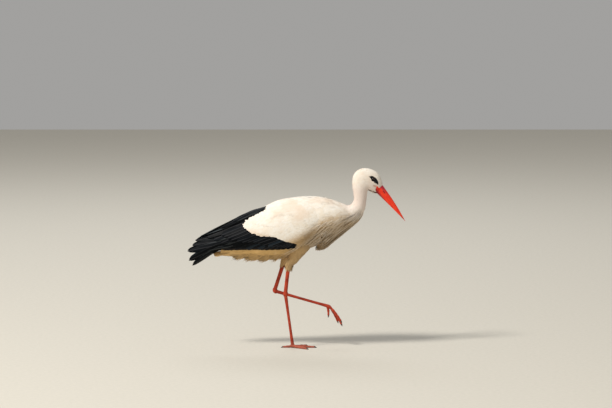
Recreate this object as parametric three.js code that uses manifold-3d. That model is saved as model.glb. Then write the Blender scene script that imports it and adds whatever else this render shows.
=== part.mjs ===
// A life-size white stork, walking: it stands on its right foot and carries the left one forward.
// Millimetres, +X forward, +Y to the bird's left, +Z up. The origin is on the floor, under the
// joint of tarsus and toes of the standing foot.
// The body is lofted whole and parted by thin cuts. The folded wings are shells that lie on the
// trunk, and long feathers are separate blades joined into one piece for each group.

import * as THREE from "three";
import { mergeVertices } from "three/addons/utils/BufferGeometryUtils.js";
import Module from "manifold-3d";

const wasm = await Module();
wasm.setup();

// ---------------------------------------------------------------- driving dimensions

const GAP = 0.35; // clear space between neighbouring pieces
const RIGHT = -1; // the bird's right side is -Y
const LEFT = 1;

const BILL = { root: [347.5, 639.5], length: 164, depth: 38, width: 27, pitch: -51.2, gape: 0.46, sides: 12 };
const EYE = { x: 323, z: 683, radius: 7.2, bulge: 2.6 };
const TARSUS = { top: 7.6, middle: 5.4, bottom: 7.2, sides: 8 };
const TIBIA = { top: 7.2, bottom: 8.2, sides: 10 };
const ANKLE = { radius: 10.4, length: 30 };
const TOE = { radius: 5.4, tip: 3.7, lift: 4.3, sides: 8, rings: 6 };
const CLAW = { length: 13, radius: 3.3 };
const TOE_LENGTHS = { inner: 63, middle: 79, outer: 67, hind: 30 };
const TOE_SPREAD = { inner: 41, middle: 0, outer: -41, hind: 176 }; // degrees from straight ahead, to the left

// Standing leg: the foot is under the middle of the body, which it carries alone.
const STANDING = {
  hip: [46, -40, 440],
  fluffEnd: [-17, -28, 330],
  ankle: [-29, -18, 221],
  girth: [40, 38, 30, 20, 15],
  toes: [0, 0, 9],
};
// Raised leg: shin back, tarsus forward and nearly level, toes hanging.
const RAISED = {
  hip: [16, 40, 446],
  fluffEnd: [-38, 45, 334],
  ankle: [-73, 42, 225],
  girth: [40, 38, 34, 25, 15],
  toes: [146, 35, 162],
};

// Cross-sections of the body from the root of the bill to the root of the tail. Each one joins a
// point of the upper outline (x, z) to a point of the lower outline, with half its width and the
// exponent of its superellipse: 2 is an ellipse, and more is squarer.
const BODY_SECTIONS = [
  { at: "bill root", upper: [359.5, 657], lower: [336, 622], half: 13, square: 2.0 },
  { at: "lores", upper: [355, 678], lower: [323, 624], half: 18.5, square: 2.1 },
  { at: "eye", upper: [340, 705], lower: [312, 629], half: 23.5, square: 2.2 },
  { at: "crown", upper: [308, 721.5], lower: [303, 634], half: 26.5, square: 2.2 },
  { at: "hind crown", upper: [272, 721], lower: [299.5, 632], half: 28, square: 2.1 },
  { at: "nape", upper: [245, 699], lower: [297.5, 618], half: 27, square: 2.0 },
  { at: "upper neck", upper: [238, 660], lower: [295, 599], half: 25.5, square: 2.0 },
  { at: "middle neck", upper: [243, 622], lower: [292.5, 574], half: 25.5, square: 2.0 },
  { at: "lower neck", upper: [245, 598], lower: [285, 549], half: 28, square: 2.0 },
  { at: "neck root", upper: [237, 582], lower: [265, 521], half: 36, square: 2.0 },
  { at: "collar", upper: [221, 574], lower: [236, 497], half: 49, square: 2.0 },
  { at: "shoulders", upper: [200, 582], lower: [203, 474], half: 66, square: 2.1 },
  { at: "breast", upper: [168, 594], lower: [166, 448], half: 80, square: 2.2 },
  { at: "keel", upper: [122, 607], lower: [120, 429], half: 86, square: 2.3 },
  { at: "middle", upper: [62, 611], lower: [62, 402], half: 86, square: 2.3 },
  { at: "hips", upper: [0, 606], lower: [0, 378], half: 84, square: 2.3 },
  { at: "loins", upper: [-62, 591], lower: [-66, 362], half: 78, square: 2.2 },
  { at: "rump", upper: [-116, 563], lower: [-126, 358], half: 66, square: 2.1 },
  { at: "vent", upper: [-166, 518], lower: [-180, 363], half: 50, square: 2.0 },
  { at: "tail coverts", upper: [-222, 470], lower: [-232, 369], half: 36, square: 2.0 },
  { at: "tail root", upper: [-276, 424], lower: [-286, 373], half: 26, square: 2.0 },
];
const BODY = { ringsPerSection: 2, sides: 18 };

// Thin cuts that part the body: a point of the cut, its tilt from level in degrees, and its reach.
const BODY_CUTS = [
  { below: "head", x: 270, z: 640, tilt: -34, reach: 90 },
  { below: "neck_upper", x: 268, z: 588, tilt: -52, reach: 90 },
  { below: "neck_lower", x: 222, z: 540, tilt: -84, reach: 150 },
];

// The folded wings together form a cloak over the trunk. At each x it has a ridge, a widest level,
// a lower edge, half a width and a superellipse exponent.
const CLOAK = [
  { x: 124, ridge: 608, wide: 512, edge: 424, half: 90, square: 2.3 },
  { x: 60, ridge: 612, wide: 504, edge: 412, half: 99, square: 2.3 },
  { x: 0, ridge: 606, wide: 494, edge: 407, half: 100, square: 2.3 },
  { x: -60, ridge: 594, wide: 482, edge: 404, half: 95, square: 2.2 },
  { x: -112, ridge: 571, wide: 470, edge: 401, half: 85, square: 2.0 },
  { x: -160, ridge: 555, wide: 455, edge: 399, half: 74, square: 1.8 },
  { x: -210, ridge: 532, wide: 440, edge: 397, half: 63, square: 1.65 },
  { x: -260, ridge: 506, wide: 426, edge: 395, half: 54, square: 1.6 },
  { x: -308, ridge: 482, wide: 412, edge: 391, half: 46, square: 1.6 },
  { x: -420, ridge: 430, wide: 366, edge: 322, half: 34, square: 1.6 },
];
const WING = { thickness: 11, rear: -308, rings: 10, steps: 7, undercut: 1.45 };

// Side outlines of the wing's feather groups, (x, z), where white coverts meet black flight feathers.
const COVERT_EDGE = {
  lower: [[14, 431], [-36, 441], [-80, 460], [-130, 464], [-178, 480]],
  point: [-204, 499],
  upper: [[-190, 521], [-148, 542], [-108, 559]],
};
const SHOULDER_EDGE = {
  top: [[-60, 574], [0, 588], [60, 592]],
  front: [[102, 574], [119, 535], [104, 490], [80, 458], [46, 430], [14, 404]],
};
const SCAPULAR_FRONT = -109;
const SCAPULAR_EDGE_REAR = [-330, 424]; // the black scapulars and tertials end here below

// Tips of the primaries of one folded wing, from the uppermost to the leading one.
const PRIMARIES = {
  tips: [[-384, 452], [-391, 437], [-402, 417], [-421, 394], [-415, 356], [-401, 331]],
  root: -286,
  firstTurn: 14, // degrees round the cloak's section from its ridge
  lastTurn: 96,
  width: 31,
  thickness: 3,
};
const TAIL = { pairs: 2, root: [-264, 397], tip: [-321, 384], spread: 20, width: 30, thickness: 4 };
const PLUMES = { columns: 7, width: 18, thickness: 8, reach: 46 };

// Colours and finishes.
const WHITE = { color: 0xe9e2d6, roughness: 0.9 };
const CREAM = { color: 0xd9cdb8, roughness: 0.95 };
const BLACK = { color: 0x15171b, roughness: 0.55 };
const RED = { color: 0xc23a24, roughness: 0.5 };
const HORN = { color: 0x3a2a26, roughness: 0.5 };
const DARK_EYE = { color: 0x0c0908, roughness: 0.08 };

// ---------------------------------------------------------------- helpers

const radians = (degrees) => (degrees * Math.PI) / 180;
const mix = (a, b, t) => a + (b - a) * t;
const vector = (list) => new THREE.Vector3(...list);

/** A closed three.js geometry as a manifold-3d solid. */
function solidOf(geometry) {
  const bare = geometry.clone();
  bare.deleteAttribute("normal");
  bare.deleteAttribute("uv");
  const merged = mergeVertices(bare, 1e-4);
  return new wasm.Manifold(
    new wasm.Mesh({
      numProp: 3,
      vertProperties: merged.attributes.position.array,
      triVerts: new Uint32Array(merged.index.array),
    }),
  );
}

/** A manifold-3d solid as a flat-shaded three.js geometry. */
function geometryOf(solid) {
  const mesh = solid.getMesh();
  const places = new Float32Array(mesh.numVert * 3);
  for (let i = 0; i < mesh.numVert; i++) {
    places.set(mesh.vertProperties.subarray(i * mesh.numProp, i * mesh.numProp + 3), i * 3);
  }
  const indexed = new THREE.BufferGeometry();
  indexed.setAttribute("position", new THREE.BufferAttribute(places, 3));
  indexed.setIndex(new THREE.BufferAttribute(mesh.triVerts, 1));
  const flat = indexed.toNonIndexed();
  flat.computeVertexNormals();
  return flat;
}

/** Joins rings of points into a closed skin with a fan over each end. */
function loft(rings) {
  const sides = rings[0].length;
  const places = rings.flat().flatMap((p) => [p.x, p.y, p.z]);
  const faces = [];
  for (let r = 0; r + 1 < rings.length; r++) {
    for (let s = 0; s < sides; s++) {
      const a = r * sides + s;
      const b = r * sides + ((s + 1) % sides);
      faces.push(a, b, b + sides, a, b + sides, a + sides);
    }
  }
  const addEnd = (ring, first, outward) => {
    const centre = ring.reduce((sum, p) => sum.add(p), new THREE.Vector3()).divideScalar(sides);
    const hub = places.length / 3;
    places.push(centre.x, centre.y, centre.z);
    for (let s = 0; s < sides; s++) {
      const a = first + s;
      const b = first + ((s + 1) % sides);
      faces.push(...(outward ? [hub, a, b] : [hub, b, a]));
    }
  };
  addEnd(rings[0], 0, false);
  addEnd(rings.at(-1), (rings.length - 1) * sides, true);
  const geometry = new THREE.BufferGeometry();
  geometry.setAttribute("position", new THREE.Float32BufferAttribute(places, 3));
  geometry.setIndex(faces);
  const solid = solidOf(geometry);
  return solid.volume() < 0 ? solidOf(turned(geometry)) : solid;
}

/** The same geometry with every face turned round. */
function turned(geometry) {
  const index = geometry.index.array;
  for (let i = 0; i < index.length; i += 3) {
    [index[i + 1], index[i + 2]] = [index[i + 2], index[i + 1]];
  }
  return geometry;
}

/** cos or sin raised so that a circle becomes a superellipse. */
const squared = (value, square) => Math.sign(value) * Math.abs(value) ** (2 / square);

/** A ring of a superellipse round `centre`, with half axes `across` and `up`. */
function ring(centre, across, up, sides, square = 2) {
  return Array.from({ length: sides }, (_, s) => {
    const turn = ((s + 0.5) / sides) * Math.PI * 2;
    return centre
      .clone()
      .addScaledVector(up, squared(Math.cos(turn), square))
      .addScaledVector(across, squared(Math.sin(turn), square));
  });
}

/** Round limb through the given points, with a radius at each and `flat` times that across. */
function limb(points, radii, sides, flat = 1, rings = points.length) {
  const line = new THREE.CatmullRomCurve3(points);
  const side = new THREE.Vector3(0, 1, 0);
  const made = [];
  for (let i = 0; i < rings; i++) {
    const t = i / (rings - 1);
    const along = line.getTangent(t);
    const up = new THREE.Vector3().crossVectors(along, side).normalize();
    const across = new THREE.Vector3().crossVectors(up, along).normalize();
    const place = t * (radii.length - 1);
    const low = Math.min(Math.floor(place), radii.length - 2);
    const radius = mix(radii[low], radii[low + 1], place - low);
    made.push(ring(line.getPoint(t), across.multiplyScalar(radius * flat), up.multiplyScalar(radius), sides));
  }
  return loft(made);
}

/** A flat tapering feather or plume from root to tip, `normal` pointing out of its face. */
function blade(root, tip, width, thickness, normal, { steps = 4, sag = 0, base = 0.55 } = {}) {
  const along = tip.clone().sub(root);
  const length = along.length();
  along.normalize();
  const face = normal.clone().addScaledVector(along, -normal.dot(along)).normalize();
  const across = new THREE.Vector3().crossVectors(along, face).normalize();
  const rings = [];
  for (let i = 0; i <= steps; i++) {
    const t = i / steps;
    const round = Math.sqrt(Math.max(0, 1 - ((t - 0.55) / 0.45) ** 2));
    const shape = t < 0.55 ? mix(base, 1, Math.sin((t / 0.55) * Math.PI * 0.5)) : Math.max(0.16, round);
    const centre = root
      .clone()
      .addScaledVector(along, t * length)
      .addScaledVector(face, -sag * Math.sin(t * Math.PI * 0.5));
    const half = (width / 2) * shape;
    const thick = (thickness / 2) * mix(1, 0.5, t);
    rings.push([
      centre.clone().addScaledVector(across, half),
      centre.clone().addScaledVector(face, thick),
      centre.clone().addScaledVector(across, -half),
      centre.clone().addScaledVector(face, -thick),
    ]);
  }
  return loft(rings);
}

/** A box from corner to corner. */
function block(low, high) {
  const size = vector(high).sub(vector(low));
  const geometry = new THREE.BoxGeometry(size.x, size.y, size.z);
  const centre = vector(low).addScaledVector(size, 0.5);
  return solidOf(geometry.translate(centre.x, centre.y, centre.z));
}

/** A side outline of (x, z) points, pushed through the bird from y `from` to y `to`. */
function prism(outline, from, to) {
  const shape = new THREE.Shape(outline.map(([x, z]) => new THREE.Vector2(x, z)));
  const geometry = new THREE.ExtrudeGeometry(shape, { depth: to - from, bevelEnabled: false });
  geometry.rotateX(Math.PI / 2); // the outline's y becomes z, and the depth runs along -Y
  return solidOf(geometry.translate(0, to, 0));
}

/** A smooth side outline through (x, z) points. */
function smooth(points, steps) {
  const line = new THREE.CatmullRomCurve3(points.map(([x, z]) => new THREE.Vector3(x, 0, z)));
  return line.getPoints(steps).map((p) => [p.x, p.z]);
}

/** The outline moved outwards by `by`; its points run anticlockwise seen from -Y. */
function grown(outline, by) {
  const count = outline.length;
  return outline.map(([x, z], i) => {
    const [ax, az] = outline[(i + count - 1) % count];
    const [bx, bz] = outline[(i + 1) % count];
    const length = Math.hypot(bx - ax, bz - az);
    return [x + ((bz - az) / length) * by, z - ((bx - ax) / length) * by];
  });
}

/** The largest body of a solid, without crumbs that a cut may leave. */
function largest(solid) {
  return solid.decompose().reduce((best, body) => (body.volume() > best.volume() ? body : best));
}

const join = (solids) => solids.reduce((sum, solid) => sum.add(solid));

const stork = new THREE.Group();

/** Adds one named piece to the bird. */
function addPiece(name, solid, finish) {
  const material = new THREE.MeshStandardMaterial({ ...finish, metalness: 0, flatShading: true });
  const mesh = new THREE.Mesh(geometryOf(solid), material);
  mesh.name = name;
  stork.add(mesh);
}

// ---------------------------------------------------------------- body

/** The whole body from bill root to tail root, swollen by `more`. */
function bodyLoft(more = 0) {
  const curveOf = (pick) => new THREE.CatmullRomCurve3(BODY_SECTIONS.map(pick));
  const upper = curveOf(({ upper: [x, z] }) => new THREE.Vector3(x, 0, z));
  const lower = curveOf(({ lower: [x, z] }) => new THREE.Vector3(x, 0, z));
  const girth = curveOf(({ half, square }) => new THREE.Vector3(half, square * 20, 0));
  const count = (BODY_SECTIONS.length - 1) * BODY.ringsPerSection;
  const rings = [];
  for (let i = 0; i <= count; i++) {
    const t = i / count;
    const top = upper.getPoint(t);
    const bottom = lower.getPoint(t);
    const up = top.clone().sub(bottom).multiplyScalar(0.5);
    const centre = bottom.clone().add(up);
    const { x: half, y: square } = girth.getPoint(t);
    up.setLength(up.length() + more);
    rings.push(ring(centre, new THREE.Vector3(0, half + more, 0), up, BODY.sides, square / 20));
  }
  return loft(rings);
}

const wholeBody = bodyLoft();
const bodyClearance = bodyLoft(GAP);

/** The body parted at BODY_CUTS: head, upper neck, lower neck and trunk. */
function partBody(body) {
  let rest = body;
  const parts = {};
  for (const { below, x, z, tilt, reach } of BODY_CUTS) {
    const slab = new THREE.BoxGeometry(reach, reach * 1.4, GAP);
    slab.rotateY(-radians(tilt)).translate(x, 0, z);
    const bodies = rest.subtract(solidOf(slab)).decompose();
    const ahead = (solid) => {
      const { min, max } = solid.boundingBox();
      return min[2] + max[2] + (min[0] + max[0]);
    };
    bodies.sort((a, b) => ahead(b) - ahead(a));
    parts[below] = bodies[0];
    rest = bodies.at(-1);
  }
  return { ...parts, trunk: rest };
}

// ---------------------------------------------------------------- bill and eyes

/** Both halves of the bill, parted along the gape. */
function makeBill() {
  const root = new THREE.Vector3(BILL.root[0], 0, BILL.root[1]);
  const along = new THREE.Vector3(Math.cos(radians(BILL.pitch)), 0, Math.sin(radians(BILL.pitch)));
  const up = new THREE.Vector3(-along.z, 0, along.x);
  const rings = [];
  const steps = 9;
  for (let i = 0; i <= steps; i++) {
    const t = i / steps;
    const taper = Math.max(0.045, (1 - t) ** 0.9 * mix(1, 1.12, t));
    const centre = root
      .clone()
      .addScaledVector(along, GAP + t * BILL.length)
      .addScaledVector(up, 2.2 * Math.sin(t * Math.PI));
    const across = new THREE.Vector3(0, (BILL.width / 2) * Math.max(0.06, (1 - t) ** 0.85), 0);
    rings.push(ring(centre, across, up.clone().multiplyScalar((BILL.depth / 2) * taper), BILL.sides, 2.15));
  }
  const whole = loft(rings).subtract(bodyClearance);
  const slab = new THREE.BoxGeometry(BILL.length * 2.4, BILL.width * 2, GAP);
  slab.rotateY(-radians(BILL.pitch + 0.6));
  const seam = root.clone().addScaledVector(up, BILL.depth * (BILL.gape - 0.5));
  slab.translate(seam.x, 0, seam.z);
  const halves = whole.subtract(solidOf(slab)).decompose();
  halves.sort((a, b) => b.volume() - a.volume());
  return { upper: halves[0], lower: halves[1] };
}

/** An eyeball on one side; `more` makes the socket that it sits in. */
function eyeball(side, more = 0) {
  const headHalf = 23.2;
  const centre = headHalf - EYE.radius + EYE.bulge;
  const geometry = new THREE.SphereGeometry(EYE.radius + more, 9, 6);
  return solidOf(geometry.rotateX(Math.PI / 2).translate(EYE.x, side * centre, EYE.z));
}

// ---------------------------------------------------------------- wings

const cloakLines = new THREE.CatmullRomCurve3(
  CLOAK.map(({ ridge, wide, edge }) => new THREE.Vector3(ridge, wide, edge)),
);
const cloakGirth = new THREE.CatmullRomCurve3(
  CLOAK.map(({ x, half, square }) => new THREE.Vector3(x, half, square * 20)),
);

/** The cloak's section nearest to x. */
function cloakAt(x) {
  let low = 0;
  let high = 1;
  for (let i = 0; i < 30; i++) {
    const t = (low + high) / 2;
    [low, high] = cloakGirth.getPoint(t).x > x ? [t, high] : [low, t];
  }
  const { x: ridge, y: wide, z: edge } = cloakLines.getPoint(low);
  const { y: half, z: square } = cloakGirth.getPoint(low);
  return { ridge, wide, edge, half, square: square / 20 };
}

/** How far out the cloak lies at (x, z), and which way it faces there. */
function cloakSurface(x, z, side) {
  const out = (level) => {
    const { ridge, wide, edge, half, square } = cloakAt(x);
    const reach = level > wide ? ridge - wide : (wide - edge) * WING.undercut;
    const share = Math.min(1, Math.abs(level - wide) / reach);
    return half * (1 - share ** square) ** (1 / square);
  };
  const y = out(z);
  const slope = (out(z + 1) - out(z - 1)) / 2;
  return {
    place: new THREE.Vector3(x, side * y, z),
    normal: new THREE.Vector3(0, side, -slope).normalize(),
  };
}

/** One side of the cloak, from ridge to lower edge, closed along the bird's middle. */
function cloakSide(side, inset, front = CLOAK[0].x, rear = WING.rear, count = WING.rings) {
  const over = inset ? 1 : 0;
  const xs = Array.from({ length: count }, (_, i) => mix(front + over, rear - over, i / (count - 1)));
  const rings = xs.map((x) => {
    const { ridge, wide, edge, half, square } = cloakAt(x);
    const outer = [];
    const lowest = inset ? edge - 2 : edge;
    const lastTurn = Math.acos(-1 / WING.undercut) * 0.88;
    for (let s = 0; s < WING.steps; s++) {
      const turn = (s / (WING.steps - 1)) * lastTurn;
      const up = squared(Math.cos(turn), square);
      const level = up > 0 ? wide + up * (ridge - inset - wide) : wide + up * (wide - edge) * WING.undercut;
      outer.push([(half - inset) * squared(Math.sin(turn), square), Math.max(level, lowest)]);
    }
    const last = outer.at(-1);
    outer.push([last[0], lowest], [inset ? 0.1 : GAP / 2, lowest]);
    outer[0][0] = inset ? 0.1 : GAP / 2;
    return outer.map(([y, z]) => new THREE.Vector3(x, side * Math.max(y, 0.1), z));
  });
  return loft(rings);
}

const covertOutline = smooth([...COVERT_EDGE.lower, COVERT_EDGE.point, ...COVERT_EDGE.upper], 14);

/** The wing's shell on one side, parted into coverts, scapulars and secondaries. */
function makeWing(side) {
  const [from, to] = side === RIGHT ? [-140, -GAP / 2] : [GAP / 2, 140];
  const shell = cloakSide(side, 0).subtract(cloakSide(side, WING.thickness)).subtract(bodyClearance);
  const coverts = [...covertOutline, ...SHOULDER_EDGE.top, ...SHOULDER_EDGE.front];
  const patch = new THREE.Shape(coverts.map(([x, z]) => new THREE.Vector2(x, z)));
  const turnedRight = THREE.ShapeUtils.isClockWise(patch.getPoints()) ? [...coverts].reverse() : coverts;
  const white = shell.intersect(prism(turnedRight, from, to));
  const black = shell
    .subtract(prism(grown(turnedRight, GAP), from, to))
    .intersect(block([WING.rear - 1, from, 300], [15, to, 700]));
  const seam = [COVERT_EDGE.point, SCAPULAR_EDGE_REAR];
  const above = [[SCAPULAR_FRONT, 640], [SCAPULAR_FRONT, 540], ...seam, [-330, 640]].reverse();
  return {
    coverts: largest(white),
    scapulars: largest(black.intersect(prism(above, from, to))),
    secondaries: largest(black.subtract(prism(grown(above, GAP), from, to))),
  };
}

/** The fan of primary tips behind one wing's shell. */
function makePrimaries(side) {
  const { ridge, wide, square } = cloakAt(PRIMARIES.root);
  const blades = [];
  for (const [i, [x, z]] of PRIMARIES.tips.entries()) {
    const turn = mix(PRIMARIES.firstTurn, PRIMARIES.lastTurn, i / (PRIMARIES.tips.length - 1));
    const lift = squared(Math.cos(radians(turn)), square);
    const root = cloakSurface(PRIMARIES.root, wide + lift * (ridge - wide), side);
    const tip = cloakSurface(x, z, side);
    const inward = -4.5;
    root.place.addScaledVector(root.normal, inward);
    const normal = root.normal.clone().add(tip.normal);
    blades.push(blade(root.place, tip.place, PRIMARIES.width, PRIMARIES.thickness, normal, { steps: 3, base: 0.9 }));
  }
  const [from, to] = side === RIGHT ? [-140, -GAP / 2] : [GAP / 2, 140];
  const web = [3, 7].map((inset) => cloakSide(side, inset, PRIMARIES.root, PRIMARIES.root - 50, 3));
  const fan = join([web[0].subtract(web[1]), ...blades]);
  return fan.intersect(block([-460, from, 280], [WING.rear - GAP, to, 640]));
}

// ---------------------------------------------------------------- tail and breast plumes

/** Tail feathers, closed like a fan and slightly arched. */
function makeTail() {
  const blades = [];
  for (let i = 0; i < TAIL.pairs; i++) {
    for (const side of [RIGHT, LEFT]) {
      const t = (i + 0.4) / TAIL.pairs;
      const y = side * t;
      const drop = 7 * t * t;
      const root = new THREE.Vector3(TAIL.root[0], y * 14, TAIL.root[1] - drop * 0.5);
      const tip = new THREE.Vector3(TAIL.tip[0] + 5 * t, y * TAIL.spread, TAIL.tip[1] - drop);
      const normal = new THREE.Vector3(0, y * 0.45, 1);
      blades.push(blade(root, tip, TAIL.width, TAIL.thickness, normal, { steps: 3, base: 0.8 }));
    }
  }
  return join(blades).subtract(bodyClearance);
}

/** Long pointed plumes that hang from the lower neck over the breast. */
function makePlumes() {
  const blades = [];
  for (let i = 0; i < PLUMES.columns; i++) {
    const t = (i / (PLUMES.columns - 1)) * 2 - 1;
    const y = t * PLUMES.reach;
    const back = Math.abs(t) ** 1.5;
    const root = new THREE.Vector3(226 - 14 * back, y * 0.7, 500 + 16 * back);
    const sway = 6 * Math.sin(i * 2.4);
    const tip = new THREE.Vector3(120 - 20 * back + sway * 2, y, 394 + 18 * back + sway);
    const normal = new THREE.Vector3(0.62, y / 58, -0.78);
    blades.push(blade(root, tip, PLUMES.width, PLUMES.thickness, normal, { sag: -8, base: 0.7 }));
  }
  const core = limb(
    [[227, 499], [192, 465], [157, 430], [116, 409]].map(([x, z]) => new THREE.Vector3(x, 0, z)),
    [10, 19, 22, 9],
    12,
    2,
    6,
  );
  return largest(join([core, ...blades]).subtract(bodyClearance));
}

// ---------------------------------------------------------------- legs and feet

/** Feathered thigh, which ends in a ragged cuff round the shin. */
function makeThigh({ hip, fluffEnd, ankle, girth }) {
  const [top, end] = [vector(hip), vector(fluffEnd)];
  const shin = end.clone().sub(vector(ankle)).setLength(14);
  const points = [0, 0.35, 0.7].map((t) => top.clone().lerp(end, t));
  points.push(end.clone().add(shin), end);
  return limb(points, girth, 12, 0.72, 7).subtract(bodyClearance);
}

/** Bare shin from the thigh's cuff to the ankle. */
function makeShin({ fluffEnd, ankle }) {
  const [top, end] = [vector(fluffEnd), vector(ankle)];
  const down = end.clone().sub(top).normalize();
  const start = top.clone().addScaledVector(down, GAP);
  const stop = end.clone().addScaledVector(down, -ANKLE.length / 2 - GAP);
  return limb([start, stop], [TIBIA.top, TIBIA.bottom], TIBIA.sides, 0.9, 3);
}

/** The ankle, the swollen joint that is often taken for a knee: a ball with a short length of leg each way. */
function makeAnkle({ fluffEnd, ankle, toes }) {
  const joint = vector(ankle);
  const stub = (towards, radius) => {
    const end = joint.clone().add(vector(towards).sub(joint).setLength(ANKLE.length / 2));
    return limb([end, joint], [radius, ANKLE.radius * 0.88], TARSUS.sides, 0.88, 2);
  };
  const ball = new THREE.SphereGeometry(ANKLE.radius, 8, 6).scale(1, 0.9, 1).translate(...ankle);
  return join([stub(fluffEnd, TIBIA.bottom), stub(toes, TARSUS.top), solidOf(ball)]);
}

/** Long tarsus from ankle to toes. */
function makeTarsus({ ankle, toes }) {
  const [top, end] = [vector(ankle), vector(toes)];
  const down = end.clone().sub(top).normalize();
  const start = top.clone().addScaledVector(down, ANKLE.length / 2 + GAP);
  const radii = [TARSUS.top, TARSUS.middle, TARSUS.middle, TARSUS.bottom];
  return limb([start, end], radii, TARSUS.sides, 0.86, 7);
}

/** Radius along a toe: a pad under each joint, then a blunt end. */
const toeRadius = (t, joints) =>
  mix(TOE.radius, TOE.tip, t) * (1 + 0.09 * Math.cos(t * joints * Math.PI * 2));

/** One toe along a curve, with its own claw. */
function makeToe(points, joints) {
  const radii = Array.from({ length: TOE.rings }, (_, i) => toeRadius(i / (TOE.rings - 1), joints));
  return limb(points, radii, TOE.sides, 1, TOE.rings);
}

/** A short blunt claw that goes on where its toe ends. */
function makeClaw(end, along, down) {
  const start = end.clone().addScaledVector(along, GAP);
  const middle = start.clone().addScaledVector(along, CLAW.length * 0.55).addScaledVector(down, 0.4);
  const tip = start.clone().addScaledVector(along, CLAW.length).addScaledVector(down, 1.6);
  return limb([start, middle, tip], [CLAW.radius, CLAW.radius * 0.8, 0.7], 6, 0.9, 4);
}

/** The pad where the toes meet under the tarsus. */
function makePad(centre, thick) {
  const geometry = new THREE.SphereGeometry(1, 8, 6);
  geometry.scale(11.5, 9.5, thick).translate(...centre.toArray());
  return solidOf(geometry);
}

/** Toes, claws and pad of a foot, each toe a direction and a length from the pad's middle. */
function makeFoot(pad, toes, floor) {
  const trim = (solid) => (floor ? solid.intersect(block([-200, -200, 0], [400, 200, 400])) : solid);
  const padClearance = makePad(pad.centre, pad.thick + GAP).add(makePad(pad.centre, pad.thick));
  const pieces = [];
  const taken = [];
  for (const { name, points, joints } of toes) {
    const line = new THREE.CatmullRomCurve3(points);
    const along = line.getTangent(1);
    const down = new THREE.Vector3(along.z, 0, -along.x);
    if (down.z > 0) down.negate();
    let toe = makeToe(points, joints).subtract(padClearance);
    for (const other of taken) toe = toe.subtract(other);
    pieces.push([`toe_${name}`, largest(trim(toe)), RED]);
    pieces.push([`claw_${name}`, trim(makeClaw(points.at(-1), along, down)), HORN]);
    taken.push(makeToe(points, joints));
  }
  pieces.push(["pad", trim(makePad(pad.centre, pad.thick)), RED]);
  return pieces;
}

/** The standing foot, spread flat on the floor. */
function makeStandingFoot() {
  const toes = Object.entries(TOE_LENGTHS).map(([name, length]) => {
    const turn = radians(TOE_SPREAD[name]);
    const ahead = new THREE.Vector3(Math.cos(turn), Math.sin(turn), 0);
    const points = [0, 0.3, 0.65, 1].map((t) =>
      new THREE.Vector3(0, 0, mix(7.5, TOE.lift, Math.min(1, t * 3))).addScaledVector(ahead, 6 + t * length),
    );
    points.at(-1).z = 3;
    return { name, points, joints: name === "hind" ? 2 : name === "inner" ? 3 : 4 };
  });
  return makeFoot({ centre: new THREE.Vector3(0, 0, 6.5), thick: 8.5 }, toes, true);
}

/** The raised foot, its front toes hanging close together and the hind toe behind them. */
function makeHangingFoot() {
  const joint = vector(RAISED.toes);
  const hang = { inner: [-60, 8], middle: [-54, 0], outer: [-49, -8], hind: [-82, 2] };
  const curl = 14; // degrees by which each toe bends down towards its end
  const toes = Object.entries(TOE_LENGTHS).map(([name, length]) => {
    const [pitch, spread] = hang[name];
    const back = name === "hind" ? -5 : 5;
    const points = [joint.clone().add(new THREE.Vector3(back, spread * 0.35, -3))];
    for (let i = 1; i <= 3; i++) {
      const dip = radians(pitch - curl * (i / 3 - 0.5));
      const swing = radians(spread);
      const step = new THREE.Vector3(Math.cos(dip), Math.sin(swing), Math.sin(dip)).normalize();
      points.push(points.at(-1).clone().addScaledVector(step, length / 3));
    }
    return { name, points, joints: name === "hind" ? 2 : name === "inner" ? 3 : 4 };
  });
  return makeFoot({ centre: joint.clone(), thick: 9 }, toes, false);
}

/** Adds a whole leg, trimmed so that no piece runs into its neighbour. */
function addLeg(sideName, leg, foot) {
  const thigh = makeThigh(leg);
  const shin = makeShin(leg);
  const ankle = makeAnkle(leg);
  const solids = foot.map(([, solid]) => solid);
  const tarsus = solids.reduce((rest, solid) => rest.subtract(solid), makeTarsus(leg));
  addPiece(`thigh_${sideName}`, largest(thigh), CREAM);
  addPiece(`leg_${sideName}_shin`, largest(shin), RED);
  addPiece(`leg_${sideName}_ankle`, largest(ankle), RED);
  addPiece(`leg_${sideName}_tarsus`, largest(tarsus), RED);
  for (const [name, solid, finish] of foot) addPiece(`foot_${sideName}_${name}`, solid, finish);
}

// ---------------------------------------------------------------- assembly

const { head, neck_upper, neck_lower, trunk } = partBody(wholeBody);
const sockets = join([eyeball(RIGHT, GAP), eyeball(LEFT, GAP)]);
addPiece("head", head.subtract(sockets), WHITE);
addPiece("neck_upper", neck_upper, WHITE);
addPiece("neck_lower", neck_lower, WHITE);
addPiece("trunk", trunk, WHITE);

const bill = makeBill();
addPiece("bill_upper", bill.upper, RED);
addPiece("bill_lower", bill.lower, RED);
addPiece("eye_right", eyeball(RIGHT), DARK_EYE);
addPiece("eye_left", eyeball(LEFT), DARK_EYE);

addPiece("breast_plumes", makePlumes(), CREAM);
addPiece("tail", largest(makeTail()), WHITE);

for (const [sideName, side] of [["right", RIGHT], ["left", LEFT]]) {
  const wing = makeWing(side);
  addPiece(`wing_${sideName}_coverts`, wing.coverts, WHITE);
  addPiece(`wing_${sideName}_scapulars`, wing.scapulars, BLACK);
  addPiece(`wing_${sideName}_secondaries`, wing.secondaries, BLACK);
  addPiece(`wing_${sideName}_primaries`, largest(makePrimaries(side)), BLACK);
}

addLeg("right", STANDING, makeStandingFoot());
addLeg("left", RAISED, makeHangingFoot());

export default stork;
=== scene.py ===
import math

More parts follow.
